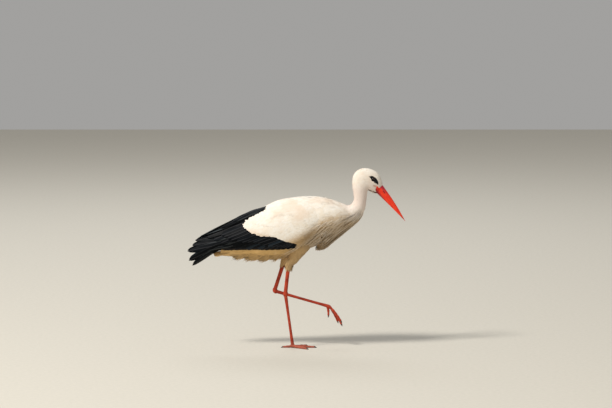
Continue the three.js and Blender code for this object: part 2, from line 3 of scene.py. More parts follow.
import bmesh
import bpy
import numpy as np
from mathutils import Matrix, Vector


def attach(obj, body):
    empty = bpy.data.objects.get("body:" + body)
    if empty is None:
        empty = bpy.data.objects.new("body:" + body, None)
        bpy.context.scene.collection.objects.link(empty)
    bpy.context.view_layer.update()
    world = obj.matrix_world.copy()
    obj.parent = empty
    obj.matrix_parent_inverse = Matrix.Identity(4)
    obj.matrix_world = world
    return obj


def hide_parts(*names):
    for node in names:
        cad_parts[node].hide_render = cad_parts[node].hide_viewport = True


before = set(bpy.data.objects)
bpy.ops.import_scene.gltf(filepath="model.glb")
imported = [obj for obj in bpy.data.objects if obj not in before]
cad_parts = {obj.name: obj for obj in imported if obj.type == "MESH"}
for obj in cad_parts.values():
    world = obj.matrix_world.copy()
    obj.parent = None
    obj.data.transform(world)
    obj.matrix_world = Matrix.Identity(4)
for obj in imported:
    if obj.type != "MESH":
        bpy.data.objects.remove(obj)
bpy.context.view_layer.update()
MM = 0.001
SIDES = {"right": -1, "left": 1}  # the sign of Y there
chance = np.random.default_rng(20)

# %% [markdown]
# ## Camera, light and floor
# The bird is seen from its right side, a little from above, through a long lens. A long lens far
# away keeps the near and the far leg the same size. One large soft lamp high on the left gives the
# bright back and the brown shade below. A weak one in front keeps the shade readable, and one
# behind the bird lights its far edge.
# %% Camera
PICTURE_WIDTH = 612
METRES_PER_PIXEL = 0.004  # at the bird
VIEW_DISTANCE = 13.0
VIEW_DOWN = math.radians(5.5)
VIEW_CENTRE = Vector((0.0536, 0, 0.580))
SENSOR_WIDTH = 36  # millimetres

camera_data = bpy.data.cameras.new("long_lens")
camera_data.sensor_width = SENSOR_WIDTH
camera_data.lens = SENSOR_WIDTH * VIEW_DISTANCE / (PICTURE_WIDTH * METRES_PER_PIXEL)
camera_data.clip_end = 100
camera = bpy.data.objects.new("camera", camera_data)
look = Vector((0, math.cos(VIEW_DOWN), -math.sin(VIEW_DOWN)))
camera.location = VIEW_CENTRE - look * VIEW_DISTANCE
camera.rotation_euler = look.to_track_quat("-Z", "Y").to_euler()
bpy.context.scene.collection.objects.link(camera)
bpy.context.scene.camera = camera
print("lens", round(camera_data.lens), "mm")

# %% Lamps and sky
LAMPS = (  # name, place, size, power, colour
    ("key_lamp", (-5.75, -4.75, 8.8), 2.25, 1190, (1.0, 0.96, 0.905)),
    ("front_lamp", (2.6, -3.2, 1.2), 2.4, 8, (1.0, 0.96, 0.90)),
    ("back_lamp", (-0.8, 5.6, 6.0), 4.0, 150, (0.95, 0.97, 1.0)),
)
LAMP_AIM = Vector((0, 0, 0.45))
SKY_TINT, SKY_STRENGTH = (1.0, 0.985, 0.96, 1), 0.36
for name, spot, size, power, tint in LAMPS:
    lamp = bpy.data.lights.new(name, "AREA")
    lamp.size, lamp.energy, lamp.color = size, power, tint
    holder = bpy.data.objects.new(name, lamp)
    holder.location = spot
    holder.rotation_euler = (LAMP_AIM - Vector(spot)).to_track_quat("-Z", "Y").to_euler()
    bpy.context.scene.collection.objects.link(holder)
sky = bpy.data.worlds.new("pale_room")
sky.use_nodes = True
background = sky.node_tree.nodes["Background"]
background.inputs["Color"].default_value = SKY_TINT
background.inputs["Strength"].default_value = SKY_STRENGTH
bpy.context.scene.world = sky
bpy.context.scene.view_settings.view_transform = "Standard"
print("lamps", len(LAMPS))

# %% [markdown]
# ## Shader arithmetic
# A shader is easier to read as a sum than as boxes and wires. `Wire` wraps one output socket, so
# that `a * 0.5 + b` adds the Math nodes for it. Colours and vectors need Mix and Vector Math
# instead, because a Math node would turn them grey.
# %% Wires
class Wire:
    """One output socket in a node tree. Sums on it add nodes."""

    def __init__(self, tree, socket):
        self.tree, self.socket = tree, socket

    def math(self, operation, *others):
        vector = self.socket.type in ("VECTOR", "RGBA")
        kind = "ShaderNodeVectorMath" if vector else "ShaderNodeMath"
        return node(self.tree, kind, {"operation": operation}, dict(enumerate((self, *others))))

    def __add__(self, other):
        return self.math("ADD", other)

    def __sub__(self, other):
        return self.math("SUBTRACT", other)

    def __rsub__(self, other):
        return self.math("MULTIPLY", -1.0).math("ADD", other)

    def __mul__(self, other):
        return self.math("MULTIPLY", other)

    __radd__ = __add__
    __rmul__ = __mul__

    def output(self, key):
        """Another output of the same node."""
        return Wire(self.tree, self.socket.node.outputs[key])

    def band(self, low, high):
        """0 below low, 1 above high and smooth between them. low may be the larger one."""
        sockets = {"Value": self, "From Min": low, "From Max": high}
        return node(self.tree, "ShaderNodeMapRange", {"interpolation_type": "SMOOTHSTEP"}, sockets)

    def blend(self, low, high):
        """A colour that is low where this wire is 0 and high where it is 1."""
        sockets = {"Factor": self, 6: low, 7: high}
        return node(self.tree, "ShaderNodeMix", {"data_type": "RGBA"}, sockets, output=2)


def fill(tree, sockets, values):
    """Puts a wire, a number or a colour in each named socket."""
    for key, value in values.items():
        socket = sockets[key]
        if isinstance(value, Wire):
            tree.links.new(value.socket, socket)
        elif isinstance(value, tuple) and len(value) == 3 and socket.type == "RGBA":
            socket.default_value = (*value, 1)
        elif isinstance(value, (int, float)) and socket.type == "VECTOR":
            socket.default_value = (value,) * 3
        else:
            socket.default_value = value


def node(tree, kind, settings=None, sockets=None, output=0):
    """Adds a node, sets it, fills its sockets, and returns one of its outputs as a Wire."""
    made = tree.nodes.new(kind)
    for key, value in (settings or {}).items():
        setattr(made, key, value)
    fill(tree, made.inputs, sockets or {})
    return Wire(tree, made.outputs[output])


def surface(name, paint):
    """A material whose paint(tree) returns what goes in each socket of the Principled BSDF."""
    material = bpy.data.materials.new(name)
    material.use_nodes = True
    tree = material.node_tree
    fill(tree, tree.nodes["Principled BSDF"].inputs, paint(tree))
    return material


def place(tree):
    """Where a point is on the bird, in metres. Every piece has its origin at the frame's."""
    return node(tree, "ShaderNodeTexCoord", output=3)


def noise(tree, where, scale, detail=3.0):
    return node(tree, "ShaderNodeTexNoise", None, {"Vector": where, "Scale": scale, "Detail": detail})


def bump(tree, height, distance, strength):
    sockets = {"Height": height, "Distance": distance, "Strength": strength}
    return node(tree, "ShaderNodeBump", None, sockets)


def part_of(tree, vector, axis):
    return node(tree, "ShaderNodeSeparateXYZ", None, {0: vector}, output="XYZ".index(axis))


def length_of(first, second):
    return (first.math("POWER", 2.0) + second.math("POWER", 2.0)).math("SQRT")


# %% Floor
FLOOR_SIZE = 24.0
FLOOR_DARK, FLOOR_LIGHT = (0.60, 0.575, 0.505), (0.63, 0.60, 0.53)


def paint_floor(tree):
    grain = noise(tree, place(tree), 60.0).band(0.3, 0.7)
    return {"Base Color": grain.blend(FLOOR_DARK, FLOOR_LIGHT), "Roughness": 0.9}


bpy.ops.mesh.primitive_plane_add(size=FLOOR_SIZE)
floor = bpy.context.object
floor.name = "floor"
floor.data.materials.append(surface("pale_floor", paint_floor))
print("floor", FLOOR_SIZE, "m")

# %% [markdown]
# ## The shape of the body
# The body is one tube from the root of the bill, over the head and down the neck, to the root of
# the tail. A few named sections say how it goes. Each joins a point of the upper outline to a point
# of the lower one, with half the width and the exponent of a superellipse (2 is an ellipse, more is
# squarer). A smooth curve through them gives a ring anywhere. These are the same sections that the
# solids were made from, out to the tips of the feathers.
# %% Sections of the body
SECTIONS = {  # upper x and z, lower x and z, half width, exponent, depth of the coat; millimetres
    "bill root": (359.5, 657, 336, 622, 13, 2.0, 0.5),
    "lores": (355, 678, 323, 624, 18.5, 2.1, 0.7),
    "eye": (340, 705, 312, 629, 23.5, 2.2, 1.6),
    "crown": (308, 721.5, 303, 634, 26.5, 2.2, 2.6),
    "hind crown": (272, 721, 299.5, 632, 28, 2.1, 3.2),
    "nape": (245, 699, 297.5, 618, 27, 2.0, 3.8),
    "upper neck": (238, 660, 295, 599, 25.5, 2.0, 4.2),
    "middle neck": (243, 622, 292.5, 574, 25.5, 2.0, 4.6),
    "lower neck": (245, 598, 285, 549, 28, 2.0, 5.5),
    "neck root": (237, 582, 265, 521, 36, 2.0, 7),
    "collar": (221, 574, 236, 497, 49, 2.0, 8.5),
    "shoulders": (200, 582, 203, 474, 66, 2.1, 9.5),
    "breast": (168, 594, 166, 448, 80, 2.2, 10),
    "keel": (122, 607, 120, 429, 86, 2.3, 10),
    "middle": (62, 611, 62, 402, 86, 2.3, 10),
    "hips": (0, 606, 0, 378, 84, 2.3, 11),
    "loins": (-62, 591, -66, 362, 78, 2.2, 12),
    "rump": (-116, 563, -126, 358, 66, 2.1, 13),
    "vent": (-166, 518, -180, 363, 50, 2.0, 13),
    "tail coverts": (-222, 470, -232, 369, 36, 2.0, 12),
    "tail root": (-276, 424, -286, 373, 26, 2.0, 10),
}
LAST_STATION = len(SECTIONS) - 1


def through(rows, places):
    """A smooth (Catmull-Rom) curve through rows of numbers, read at places from 0 to the last row."""
    rows = np.asarray(rows, float)
    padded = np.vstack((2 * rows[0] - rows[1], rows, 2 * rows[-1] - rows[-2]))
    low = np.clip(np.floor(places).astype(int), 0, len(rows) - 2)
    f = (places - low)[:, None]
    a, b, c, d = (padded[low + k] for k in range(4))
    return 0.5 * (2 * b + (c - a) * f + (2 * a - 5 * b + 4 * c - d) * f**2 + (3 * b - a - 3 * c + d) * f**3)


def unit(vectors):
    return vectors / np.maximum(np.linalg.norm(vectors, axis=-1, keepdims=True), 1e-12)


def dot(a, b):
    return np.sum(a * b, axis=-1, keepdims=True)


def squared(value, exponent):
    return np.sign(value) * np.abs(value) ** (2 / exponent)


# %% Forms
class Form:
    """A surface as a grid of points, from t = 0 to 1 along it and a = 0 to 1 round or across it."""

    def __init__(self, grid, wraps, faces=1):
        self.wraps = wraps
        self.rows, self.columns = grid.shape[:2]
        along = np.gradient(grid, axis=0) * (self.rows - 1)
        if wraps:
            closed = np.concatenate((grid[:, -1:], grid, grid[:, :1]), axis=1)
            across = np.gradient(closed, axis=1)[:, 1:-1] * self.columns
        else:
            across = np.gradient(grid, axis=1) * (self.columns - 1)
        normal = unit(np.cross(across, along)) * faces
        if wraps:
            outward = grid - grid.mean(axis=1, keepdims=True)
            normal *= np.sign(np.sum(normal * outward))
        self.fields = np.concatenate((grid, normal, along, across), axis=2)

    def look(self, t, a):
        """Point, outward normal, and how the point moves with t and with a."""
        row = np.clip(t, 0, 1) * (self.rows - 1)
        if self.wraps:
            column = np.mod(a, 1) * self.columns
            next_column = (np.floor(column).astype(int) + 1) % self.columns
        else:
            column = np.clip(a, 0, 1) * (self.columns - 1)
            next_column = np.minimum(np.floor(column).astype(int) + 1, self.columns - 1)
        i = np.floor(row).astype(int)
        j = np.floor(column).astype(int) % self.columns
        i2 = np.minimum(i + 1, self.rows - 1)
        fi, fj = (row - i)[:, None], (column - np.floor(column))[:, None]
        here = self.fields[i, j] * (1 - fj) + self.fields[i, next_column] * fj
        there = self.fields[i2, j] * (1 - fj) + self.fields[i2, next_column] * fj
        found = here * (1 - fi) + there * fi
        return found[:, :3], unit(found[:, 3:6]), found[:, 6:9], found[:, 9:12]

    def walk(self, t, a, step):
        """The t and a that lie `step` metres on, as near as the surface allows."""
        _, _, along, across = self.look(t, a)
        tt, ta, aa = dot(along, along), dot(along, across), dot(across, across)
        ts, as_ = dot(along, step), dot(across, step)
        spread = np.maximum(tt * aa - ta * ta, 1e-9)
        dt = ((aa * ts - ta * as_) / spread)[:, 0]
        da = ((tt * as_ - ta * ts) / spread)[:, 0]
        return t + np.clip(dt, -0.1, 0.1), a + np.clip(da, -0.2, 0.2)


def body_rings(stations, columns, depth_share=0.0):
    """Rings of the body at the given stations, `depth_share` of the coat's depth inside its tips."""
    rows = through(list(SECTIONS.values()), stations)
    turn = np.arange(columns) / columns * 2 * math.pi
    upper, lower = (np.insert(rows[:, k : k + 2], 1, 0, axis=1) for k in (0, 2))
    inset = rows[:, 6:] * depth_share
    up = (upper - lower) / 2
    half_height = np.linalg.norm(up, axis=1, keepdims=True)
    up *= (half_height - inset) / half_height
    half_width, exponent = rows[:, 4:5] - inset, rows[:, 5:6]
    rings = ((upper + lower) / 2)[:, None] + up[:, None] * squared(np.cos(turn), exponent)[..., None]
    rings[..., 1] += squared(np.sin(turn), exponent) * half_width
    return rings * MM


BODY_ROWS, BODY_COLUMNS = 801, 240
every_station = np.linspace(0, LAST_STATION, BODY_ROWS)
body_form = Form(body_rings(every_station, BODY_COLUMNS), wraps=True)
coat_depth = np.interp(every_station, range(len(SECTIONS)), [row[6] for row in SECTIONS.values()])
print("body rings", BODY_ROWS, "columns", BODY_COLUMNS)

# %% [markdown]
# ## What a feather is
# A small body feather is a soft blade: it starts in the skin, rises through the coat and then lies
# along it, with its tip over the roots of the next ones. Each is a thin closed mesh with four points
# round it and a few stations along it, and numpy works out thousands at a time. A map named `vane`
# holds distances across and along each blade, in tenths of a metre, so that a shader can draw barbs
# at their real spacing. A map named `OFBake` puts each blade in a tiny patch at its root's place on
# the unrolled form.
# %% Blades
SOFT_SECTION = ((-1, 0.0), (0, 1.0), (1, 0.0), (0, -0.5))  # across, and above or below the middle
TIP_THICKNESS = 0.35  # share of the thickness at the root
EDGE_LEAN = 0.35  # how far the shading turns outwards at the edges
BAKE_PATCH = 0.003
PATCH_FILL = 0.9
VANE_SCALE = 10  # a map's unit is a tenth of a metre


def blades(spine, up, width, outline, thickness, section, root_uv, marks, camber, softness=0.0):
    """Closed blades along (count, stations, 3) spines. Returns the arrays that a Coat collects.

    softness mixes the normal of the form into the shading, so that a coat looks like one soft surface.
    """
    form_up = unit(up)
    count, stations = spine.shape[:2]
    across_at, above_at = np.array(section, float).T
    along = unit(np.gradient(spine, axis=1))
    across = unit(np.cross(along, up))
    up = np.cross(across, along)
    half = (width[:, None] * outline / 2)[..., None, None]
    droop = camber * half * across_at[:, None] ** 2
    taper = np.linspace(1, TIP_THICKNESS, stations)[:, None, None]
    height = above_at[:, None] * thickness / 2 * taper
    rings = spine[:, :, None] + across[:, :, None] * (half * across_at[:, None])
    rings = rings + up[:, :, None] * (height - droop)

    ring_size = len(section)
    start = np.arange(count)[:, None, None] * stations * ring_size
    i = np.arange(stations - 1)[None, :, None] * ring_size
    j = np.arange(ring_size)[None, None, :]
    j2 = (j + 1) % ring_size
    ring = start + i
    sides = np.stack([ring + j, ring + j2, ring + ring_size + j2, ring + ring_size + j], -1)
    ends = start[:, 0] + np.concatenate((np.arange(ring_size)[::-1], np.arange(ring_size)))[None]
    ends[:, ring_size:] += (stations - 1) * ring_size

    own = unit(up[:, :, None] + across[:, :, None] * across_at[:, None] * EDGE_LEAN)
    normals = unit(own * (1 - softness) + form_up[:, :, None] * softness)

    distance = np.cumsum(np.linalg.norm(np.diff(spine, axis=1, prepend=spine[:, :1]), axis=2), axis=1)
    vane = np.empty((count, stations, ring_size, 2))
    vane[..., 0] = (half * across_at[:, None])[..., 0] * VANE_SCALE
    vane[..., 1] = distance[:, :, None] * VANE_SCALE
    bake = np.empty_like(vane)
    bake[..., 0] = across_at / 2 * PATCH_FILL
    bake[..., 1] = (np.arange(stations) / (stations - 1) - 0.5)[None, :, None] * PATCH_FILL
    bake = np.clip(root_uv, 0.002, 0.998)[:, None, None] + bake * BAKE_PATCH
    return {
        "points": rings.reshape(-1, 3),
        "normals": normals.reshape(-1, 3) if softness else None,
        "quads": sides.reshape(-1, 4),
        "ends": ends.reshape(-1, ring_size),
        "vane": vane.reshape(-1, 2),
        "bake": bake.reshape(-1, 2),
        "marks": np.repeat(marks, stations * ring_size, axis=0),
    }


def tufts(spine, up, width, outline, thickness, root_uv, marks, camber, softness):
    """Soft blades. Their width and thickness are in millimetres."""
    width, thickness = width * MM, thickness * MM
    return blades(spine, up, width, outline, thickness, SOFT_SECTION, root_uv, marks, camber, softness)


# %% Coats
def settle(piece, material, slot, *nodes, smooth=True):
    """Gives a piece its material, hides the nodes that it stands for, and hangs it from the frame's root."""
    piece.data.polygons.foreach_set("use_smooth", np.full(len(piece.data.polygons), smooth))
    piece.data.materials.append(material)
    if nodes:
        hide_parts(*nodes)
    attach(piece, "root")


def give(mesh, title, values):
    """Stores four numbers with each point of a mesh."""
    made = mesh.attributes.new(title, "FLOAT_COLOR", "POINT")
    made.data.foreach_set("color", values.astype(np.float32).ravel())


class Coat:
    """Collects blades, and then makes one object of them."""

    made = []

    def __init__(self, name, slot, *nodes):
        self.name, self.slot, self.nodes, self.batches = name, slot, nodes, []

    def add(self, batch):
        self.batches.append(batch)
        return self

    def gather(self, key):
        return np.concatenate([batch[key] for batch in self.batches])

    def build(self, material):
        shift, polygons, sizes = 0, [], []
        for batch in self.batches:
            for faces in (batch["quads"], batch["ends"]):
                polygons.append((faces + shift).ravel())
                sizes.append(np.full(len(faces), faces.shape[1]))
            shift += len(batch["points"])
        corners, sizes = np.concatenate(polygons), np.concatenate(sizes)
        mesh = bpy.data.meshes.new(self.name)
        mesh.vertices.add(shift)
        mesh.vertices.foreach_set("co", self.gather("points").ravel())
        mesh.loops.add(len(corners))
        mesh.loops.foreach_set("vertex_index", corners)
        mesh.polygons.add(len(sizes))
        mesh.polygons.foreach_set("loop_start", np.concatenate(([0], np.cumsum(sizes)[:-1])))
        mesh.update(calc_edges=True)
        for key, title in (("bake", "OFBake"), ("vane", "vane")):
            values = self.gather(key)[corners].astype(np.float32)
            mesh.uv_layers.new(name=title).uv.foreach_set("vector", values.ravel())
        give(mesh, "marks", self.gather("marks"))
        piece = bpy.data.objects.new(self.name, mesh)
        bpy.context.scene.collection.objects.link(piece)
        settle(piece, material, self.slot, *self.nodes)
        if self.batches[0]["normals"] is not None:
            mesh.normals_split_custom_set_from_vertices(self.gather("normals"))
        Coat.made.append(int(np.sum(sizes - 2)))
        print(self.name, "triangles", Coat.made[-1])


# %% Laying feathers on a form
DOWN = np.array([0.0, 0.0, -1.0])
RISE_PACE = 1.6  # a blade is out of the coat after 1 / 1.6 of its length
JITTER = 0.3  # of a step along or across the rows
SPARE_ROOTS = 1.15


def lay(form, t, a, length, depth, lift, droop, yaw, steps, curl=0.0):
    """Spines that start `depth` under the form and follow it backwards, and its normals on the way.

    droop mixes gravity into the way a feather lies, and yaw turns it, in radians. Lengths are in millimetres.
    """
    length, depth, lift, curl = (np.asarray(v) * MM for v in (length, depth, lift, curl))
    spine, ups = [], []
    for i in range(steps + 1):
        share = i / steps
        point, normal, along, _ = form.look(t, a)
        rise = math.sin(min(1.0, share * RISE_PACE) * math.pi / 2)
        height = -depth + (depth + lift) * rise - curl * share**3
        spine.append(point + normal * height[:, None])
        ups.append(normal)
        heading = unit(along) + DOWN * np.reshape(droop, (-1, 1))
        heading = unit(heading - normal * dot(heading, normal))
        heading = heading * np.cos(yaw)[:, None] + np.cross(normal, heading) * np.sin(yaw)[:, None]
        t, a = form.walk(t, a, heading * (length / steps)[:, None])
    return np.stack(spine, axis=1), np.stack(ups, axis=1)


def scatter(form, from_t, to_t, from_a, to_a, spacing):
    """Roots in staggered rows. spacing(t) gives the distance between rows and within a row, in metres."""
    ts, as_ = [], []
    t, row, span = from_t, 0, to_a - from_a
    probe = np.linspace(from_a, to_a, 24)
    while t < to_t:
        _, _, along, across = form.look(np.full(24, t), probe)
        row_gap, gap = spacing(t)
        count = max(3, int(np.linalg.norm(across, axis=1).mean() * span / gap))
        order = np.arange(count) + 0.5 * (row % 2) + chance.uniform(-JITTER, JITTER, count)
        a = from_a + order / count * span
        step = row_gap / np.linalg.norm(along, axis=1).max()
        here = np.linalg.norm(form.look(np.full(count, t), a)[2], axis=1)
        kept = chance.random(count) < here * step / row_gap * SPARE_ROOTS
        ts.append(np.full(count, t)[kept] + chance.uniform(-JITTER, JITTER, kept.sum()) * step)
        as_.append(a[kept])
        t, row = t + step, row + 1
    return np.concatenate(ts), np.concatenate(as_)


# %% [markdown]
# ## One skin
# The skin is one closed mesh without a seam. The body's tube is drawn again, inside the tips by the
# depth of the coat. Thighs, shanks, ankles and toes are tubes along smooth lines, and a union joins
# them all. Where they meet, a few rounds of smoothing turn the creases into webs and folds.
# %% Tubes
CAP = np.radians((78, 58, 38, 18))  # rings of a round end


def even_line(points, step):
    """Points `step` apart on a smooth curve through a few, and the distance to each."""
    fine = through(points, np.linspace(0, len(points) - 1, 60 * len(points)))
    run = np.concatenate(([0], np.cumsum(np.linalg.norm(np.diff(fine, axis=0), axis=1))))
    at = np.linspace(0, run[-1], max(4, int(run[-1] / step) + 1))
    return np.stack([np.interp(at, run, fine[:, k]) for k in range(3)], axis=1), at


def tube(points, radii, step, columns, flat=1.0, relief=None):
    """Rings round a smooth line, with round ends. Takes millimetres and gives metres."""
    line, run = even_line(points, step)
    radius = through(np.array(radii, float)[:, None], run / run[-1] * (len(radii) - 1))[:, 0]
    along = unit(np.gradient(line, axis=0))
    first = line[0] - along[0] * (radius[0] * np.sin(CAP))[:, None]
    last = line[-1] + along[-1] * (radius[-1] * np.sin(CAP[::-1]))[:, None]
    line = np.concatenate((first, line, last))
    along = np.concatenate((np.repeat(along[:1], 4, 0), along, np.repeat(along[-1:], 4, 0)))
    radius = np.concatenate((radius[0] * np.cos(CAP), radius, radius[-1] * np.cos(CAP[::-1])))
    up = unit(np.cross(along, (0, 1, 0)))
    across = np.cross(up, along)
    turn = np.arange(columns) / columns * 2 * math.pi
    size = np.repeat(radius[:, None], columns, axis=1)
    if relief:
        distance = np.concatenate((np.zeros(4), run, np.full(4, run[-1])))
        size = size + relief(distance[:, None], turn[None], radius[:, None])
    ring_up, ring_across = np.cos(turn)[:, None], np.sin(turn)[:, None] * flat
    return (line[:, None] + size[..., None] * (up[:, None] * ring_up + across[:, None] * ring_across)) * MM


def closed_faces(rows, columns):
    """Faces of a tube: a grid that wraps, and a fan over each end to two more points."""
    i, j = np.meshgrid(np.arange(rows - 1), np.arange(columns), indexing="ij")
    j2 = (j + 1) % columns
    sides = np.stack([i * columns + j, (i + 1) * columns + j, (i + 1) * columns + j2, i * columns + j2], -1)
    k = np.arange(columns)
    k2 = (k + 1) % columns
    first = np.stack([np.full(columns, rows * columns), k, k2], -1)
    end = (rows - 1) * columns
    last = np.stack([np.full(columns, rows * columns + 1), end + k2, end + k], -1)
    return [*sides.reshape(-1, 4).tolist(), *first.tolist(), *last.tolist()]


def read_points(mesh):
    flat = np.empty(len(mesh.vertices) * 3)
    mesh.vertices.foreach_get("co", flat)
    return flat.reshape(-1, 3)


def write_points(mesh, points):
    mesh.vertices.foreach_set("co", points.ravel())
    mesh.update()


def closed_mesh(name, grid):
    """An object from a grid of rings."""
    rows, columns = grid.shape[:2]
    points = np.concatenate((grid.reshape(-1, 3), [grid[0].mean(0), grid[-1].mean(0)]))
    mesh = bpy.data.meshes.new(name)
    mesh.from_pydata(points.tolist(), [], closed_faces(rows, columns))
    made = bpy.data.objects.new(name, mesh)
    bpy.context.scene.collection.objects.link(made)
    work = bmesh.new()
    work.from_mesh(mesh)
    if work.calc_volume(signed=True) < 0:
        bmesh.ops.reverse_faces(work, faces=work.faces)
        work.to_mesh(mesh)
    work.free()
    return made


# %% Legs
# Each leg: hip, end of the long thigh feathers, ankle, and the joint of the toes; millimetres.
LEGS = {
    "right": {"hip": (46, -40, 440), "cuff": (-17, -28, 330), "ankle": (-29, -18, 221), "toes": (0, 0, 9)},
    "left": {"hip": (16, 40, 446), "cuff": (-38, 45, 334), "ankle": (-73, 42, 225), "toes": (146, 35, 162)},
}
THIGH_RADII = (34, 31, 22, 13, 8.4, 7.4, 7.4, 7.8)  # hip to ankle, under the feathers
TARSUS_RADII = (7.4, 6.0, 5.4, 5.3, 5.5, 7.0)
ANKLE_RADII = (6.6, 10.2, 10.6, 6.4)  # down the leg
CONDYLE_RADII, CONDYLE_REACH = (6.6, 6.8, 6.6), (0, 5.2, 0)  # across the ankle
FOOT_RADII = {"right": (6.5, 7.5, 6.5), "left": (6.5, 8, 6.5)}
TOE_RADII = (5.4, 5.0, 4.6, 4.2, 3.7)
TOE_LENGTHS = {"inner": 63, "middle": 79, "outer": 67, "hind": 30}
TOE_SPREAD = {"inner": 41, "middle": 0, "outer": -41, "hind": 176}  # degrees to the bird's left
TOE_HANG = {"inner": (-60, 8), "middle": (-54, 0), "outer": (-49, -8), "hind": (-82, 2)}
TOE_CURL = 14
JOINTS = {"inner": 3, "middle": 4, "outer": 4, "hind": 2}
SCALE = 3.4  # from one scale of the leg to the next


def scales(distance, turn, radius):
    """Small six-sided plates on a shank, with grooves between them."""
    around = np.round(2 * math.pi * radius / SCALE) * turn
    rows = distance / SCALE * 2 * math.pi / 1.732
    waves = np.cos(rows) + np.cos(rows / 2 + around) + np.cos(rows / 2 - around)
    return 0.10 * np.clip(waves, -1, 1.6)


def scutes(joints, length):
    """Broad plates across the upper side of a toe, and a pad under each joint."""

    def relief(distance, turn, radius):
        above = np.clip(np.cos(turn), 0, 1) ** 0.5
        plates = np.abs(np.sin(distance / 2.6 * math.pi)) ** 0.5 - 0.6
        pads = np.cos(distance / length * joints * 2 * math.pi) * 0.09 * radius
        return 0.2 * plates * above + pads

    return relief


def standing_toe(name):
    """Points along a toe that lies on the floor."""
    spread = math.radians(TOE_SPREAD[name])
    points = []
    for share, height in ((0, 7.5), (0.3, 4.62), (0.65, 4.3), (1, 3)):
        reach = 6 + share * TOE_LENGTHS[name]
        points.append((reach * math.cos(spread), reach * math.sin(spread), height))
    return points


def hanging_toe(name):
    """Points along a toe of the raised foot."""
    pitch, spread = TOE_HANG[name]
    back = -5 if name == "hind" else 5
    points = [np.array(LEGS["left"]["toes"]) + (back, spread * 0.35, -3)]
    for k in (1, 2, 3):
        dip = math.radians(pitch - TOE_CURL * (k / 3 - 0.5))
        step = unit(np.array((math.cos(dip), math.sin(math.radians(spread)), math.sin(dip))))
        points.append(points[-1] + step * TOE_LENGTHS[name] / 3)
    return points


TOES = {("right", name): standing_toe(name) for name in TOE_LENGTHS}
TOES.update({("left", name): hanging_toe(name) for name in TOE_LENGTHS})
print("toes", len(TOES))


def leg_points(side):
    """Hip, cuff, ankle and joint of the toes, and the way from the ankle up the shank."""
    hip, cuff, ankle, joint = (np.array(LEGS[side][k], float) for k in ("hip", "cuff", "ankle", "toes"))
    return hip, cuff, ankle, joint, unit(cuff - ankle)


def thigh_line(side, end):
    """Points from the hip to the cuff, and on to an end of its own."""
    hip, cuff, _, _, up = leg_points(side)
    return [hip, hip * 0.65 + cuff * 0.35, hip * 0.3 + cuff * 0.7, cuff + up * 14, cuff, end]


def leg_tubes(side):
    """Grids for one leg, from the thigh to the toes."""
    _, _, ankle, joint, up = leg_points(side)
    down = unit(joint - ankle)
    tarsus = [ankle, ankle * 0.5 + joint * 0.5, joint + (0, 0, 1)]
    knob = [ankle + up * 13, ankle + up * 4, ankle + down * 4, ankle + down * 13]
    condyles = [ankle - CONDYLE_REACH, ankle, ankle + CONDYLE_REACH]
    foot = [joint - (3.5, 0, 2), joint - (0, 0, 2.4), joint + (3.5, 0, -2)]
    toes = [
        tube(TOES[side, name], TOE_RADII, 0.85, 26, 1.0, scutes(JOINTS[name], TOE_LENGTHS[name]))
        for name in TOE_LENGTHS
    ]
    return [
        tube(thigh_line(side, ankle), THIGH_RADII, 1.9, 40, 0.8),
        tube(tarsus, TARSUS_RADII, 1.05, 40, 0.86, scales),
        tube(knob, ANKLE_RADII, 1.2, 36, 0.92),
        tube(condyles, CONDYLE_RADII, 1.4, 24),
        tube(foot, FOOT_RADII[side], 1.2, 32, 1.1),
        *toes,
    ]


# %% Eyes and lids
EYE_CENTRE = np.array((323, 17.5, 683))  # on the left; millimetres
EYE_RADIUS = 7.2
EYE_SLANT = np.array((0.68, 0, -0.73))  # the long way of the lids, towards the bill
LID_LENGTH, LID_HEIGHT = 5.9, 4.9  # half the opening
LID_SINK, LID_RISE = 0.9, 1.75  # under the ball inside the opening, and from there up to the rim


def smooth_step(value, low, high):
    share = np.clip((value - low) / (high - low), 0, 1)
    return share * share * (3 - 2 * share)


def lid_share(points):
    """1 on the lids' rim and less inside; the distance from the eye's axis; and that across the lids."""
    from_eye = points / MM - EYE_CENTRE * (1, 0, 1)
    u = from_eye @ EYE_SLANT
    v = from_eye @ np.array((-EYE_SLANT[2], 0, EYE_SLANT[0]))
    return np.hypot(u / LID_LENGTH, v / LID_HEIGHT), np.hypot(u, v), v


def press_lids(points):
    """Moves skin near an eye: under the ball, up over its rim as two lids, and out into the face."""
    share, apart, v = lid_share(points)
    ball = EYE_CENTRE[1] + np.sqrt(np.maximum(EYE_RADIUS**2 - apart**2, 3.5))
    lid = ball - LID_SINK + LID_RISE * smooth_step(share, 0.94, 1.08)
    lid = lid + 0.25 * np.clip(-v / 4, 0, 1) * (share > 1)
    groove = -0.55 * np.exp(-(((share - 1.75) / 0.16) ** 2))
    away = smooth_step(share, 1.25, 2.75)
    face = np.abs(points[:, 1]) / MM
    moved = lid * (1 - away) + face * away + groove
    near = (share < 2.75) & (np.abs(points[:, 0] - EYE_CENTRE[0] * MM) < 0.03) & (face > 8)
    points[near, 1] = (moved * np.sign(points[:, 1]) * MM)[near]
    return points


# %% The skin
RING_GAPS = ((0, 4, 6, 9, 20), (0.9, 1.0, 2.2, 3.6, 4.6))  # station, and millimetres to the next ring
SKIN_COLUMNS = 132


def dense_stations():
    """Stations for the skin's rings: close on the head, and wider down the body."""
    places = [0.0]
    spine = through(list(SECTIONS.values()), every_station)[:, :4]
    stride = np.linalg.norm(np.gradient(spine, axis=0), axis=1) / np.gradient(every_station) / 1.414
    while places[-1] < LAST_STATION:
        here = places[-1]
        places.append(here + np.interp(here, *RING_GAPS) / np.interp(here, every_station, stride))
    return np.array(places) * LAST_STATION / places[-1]


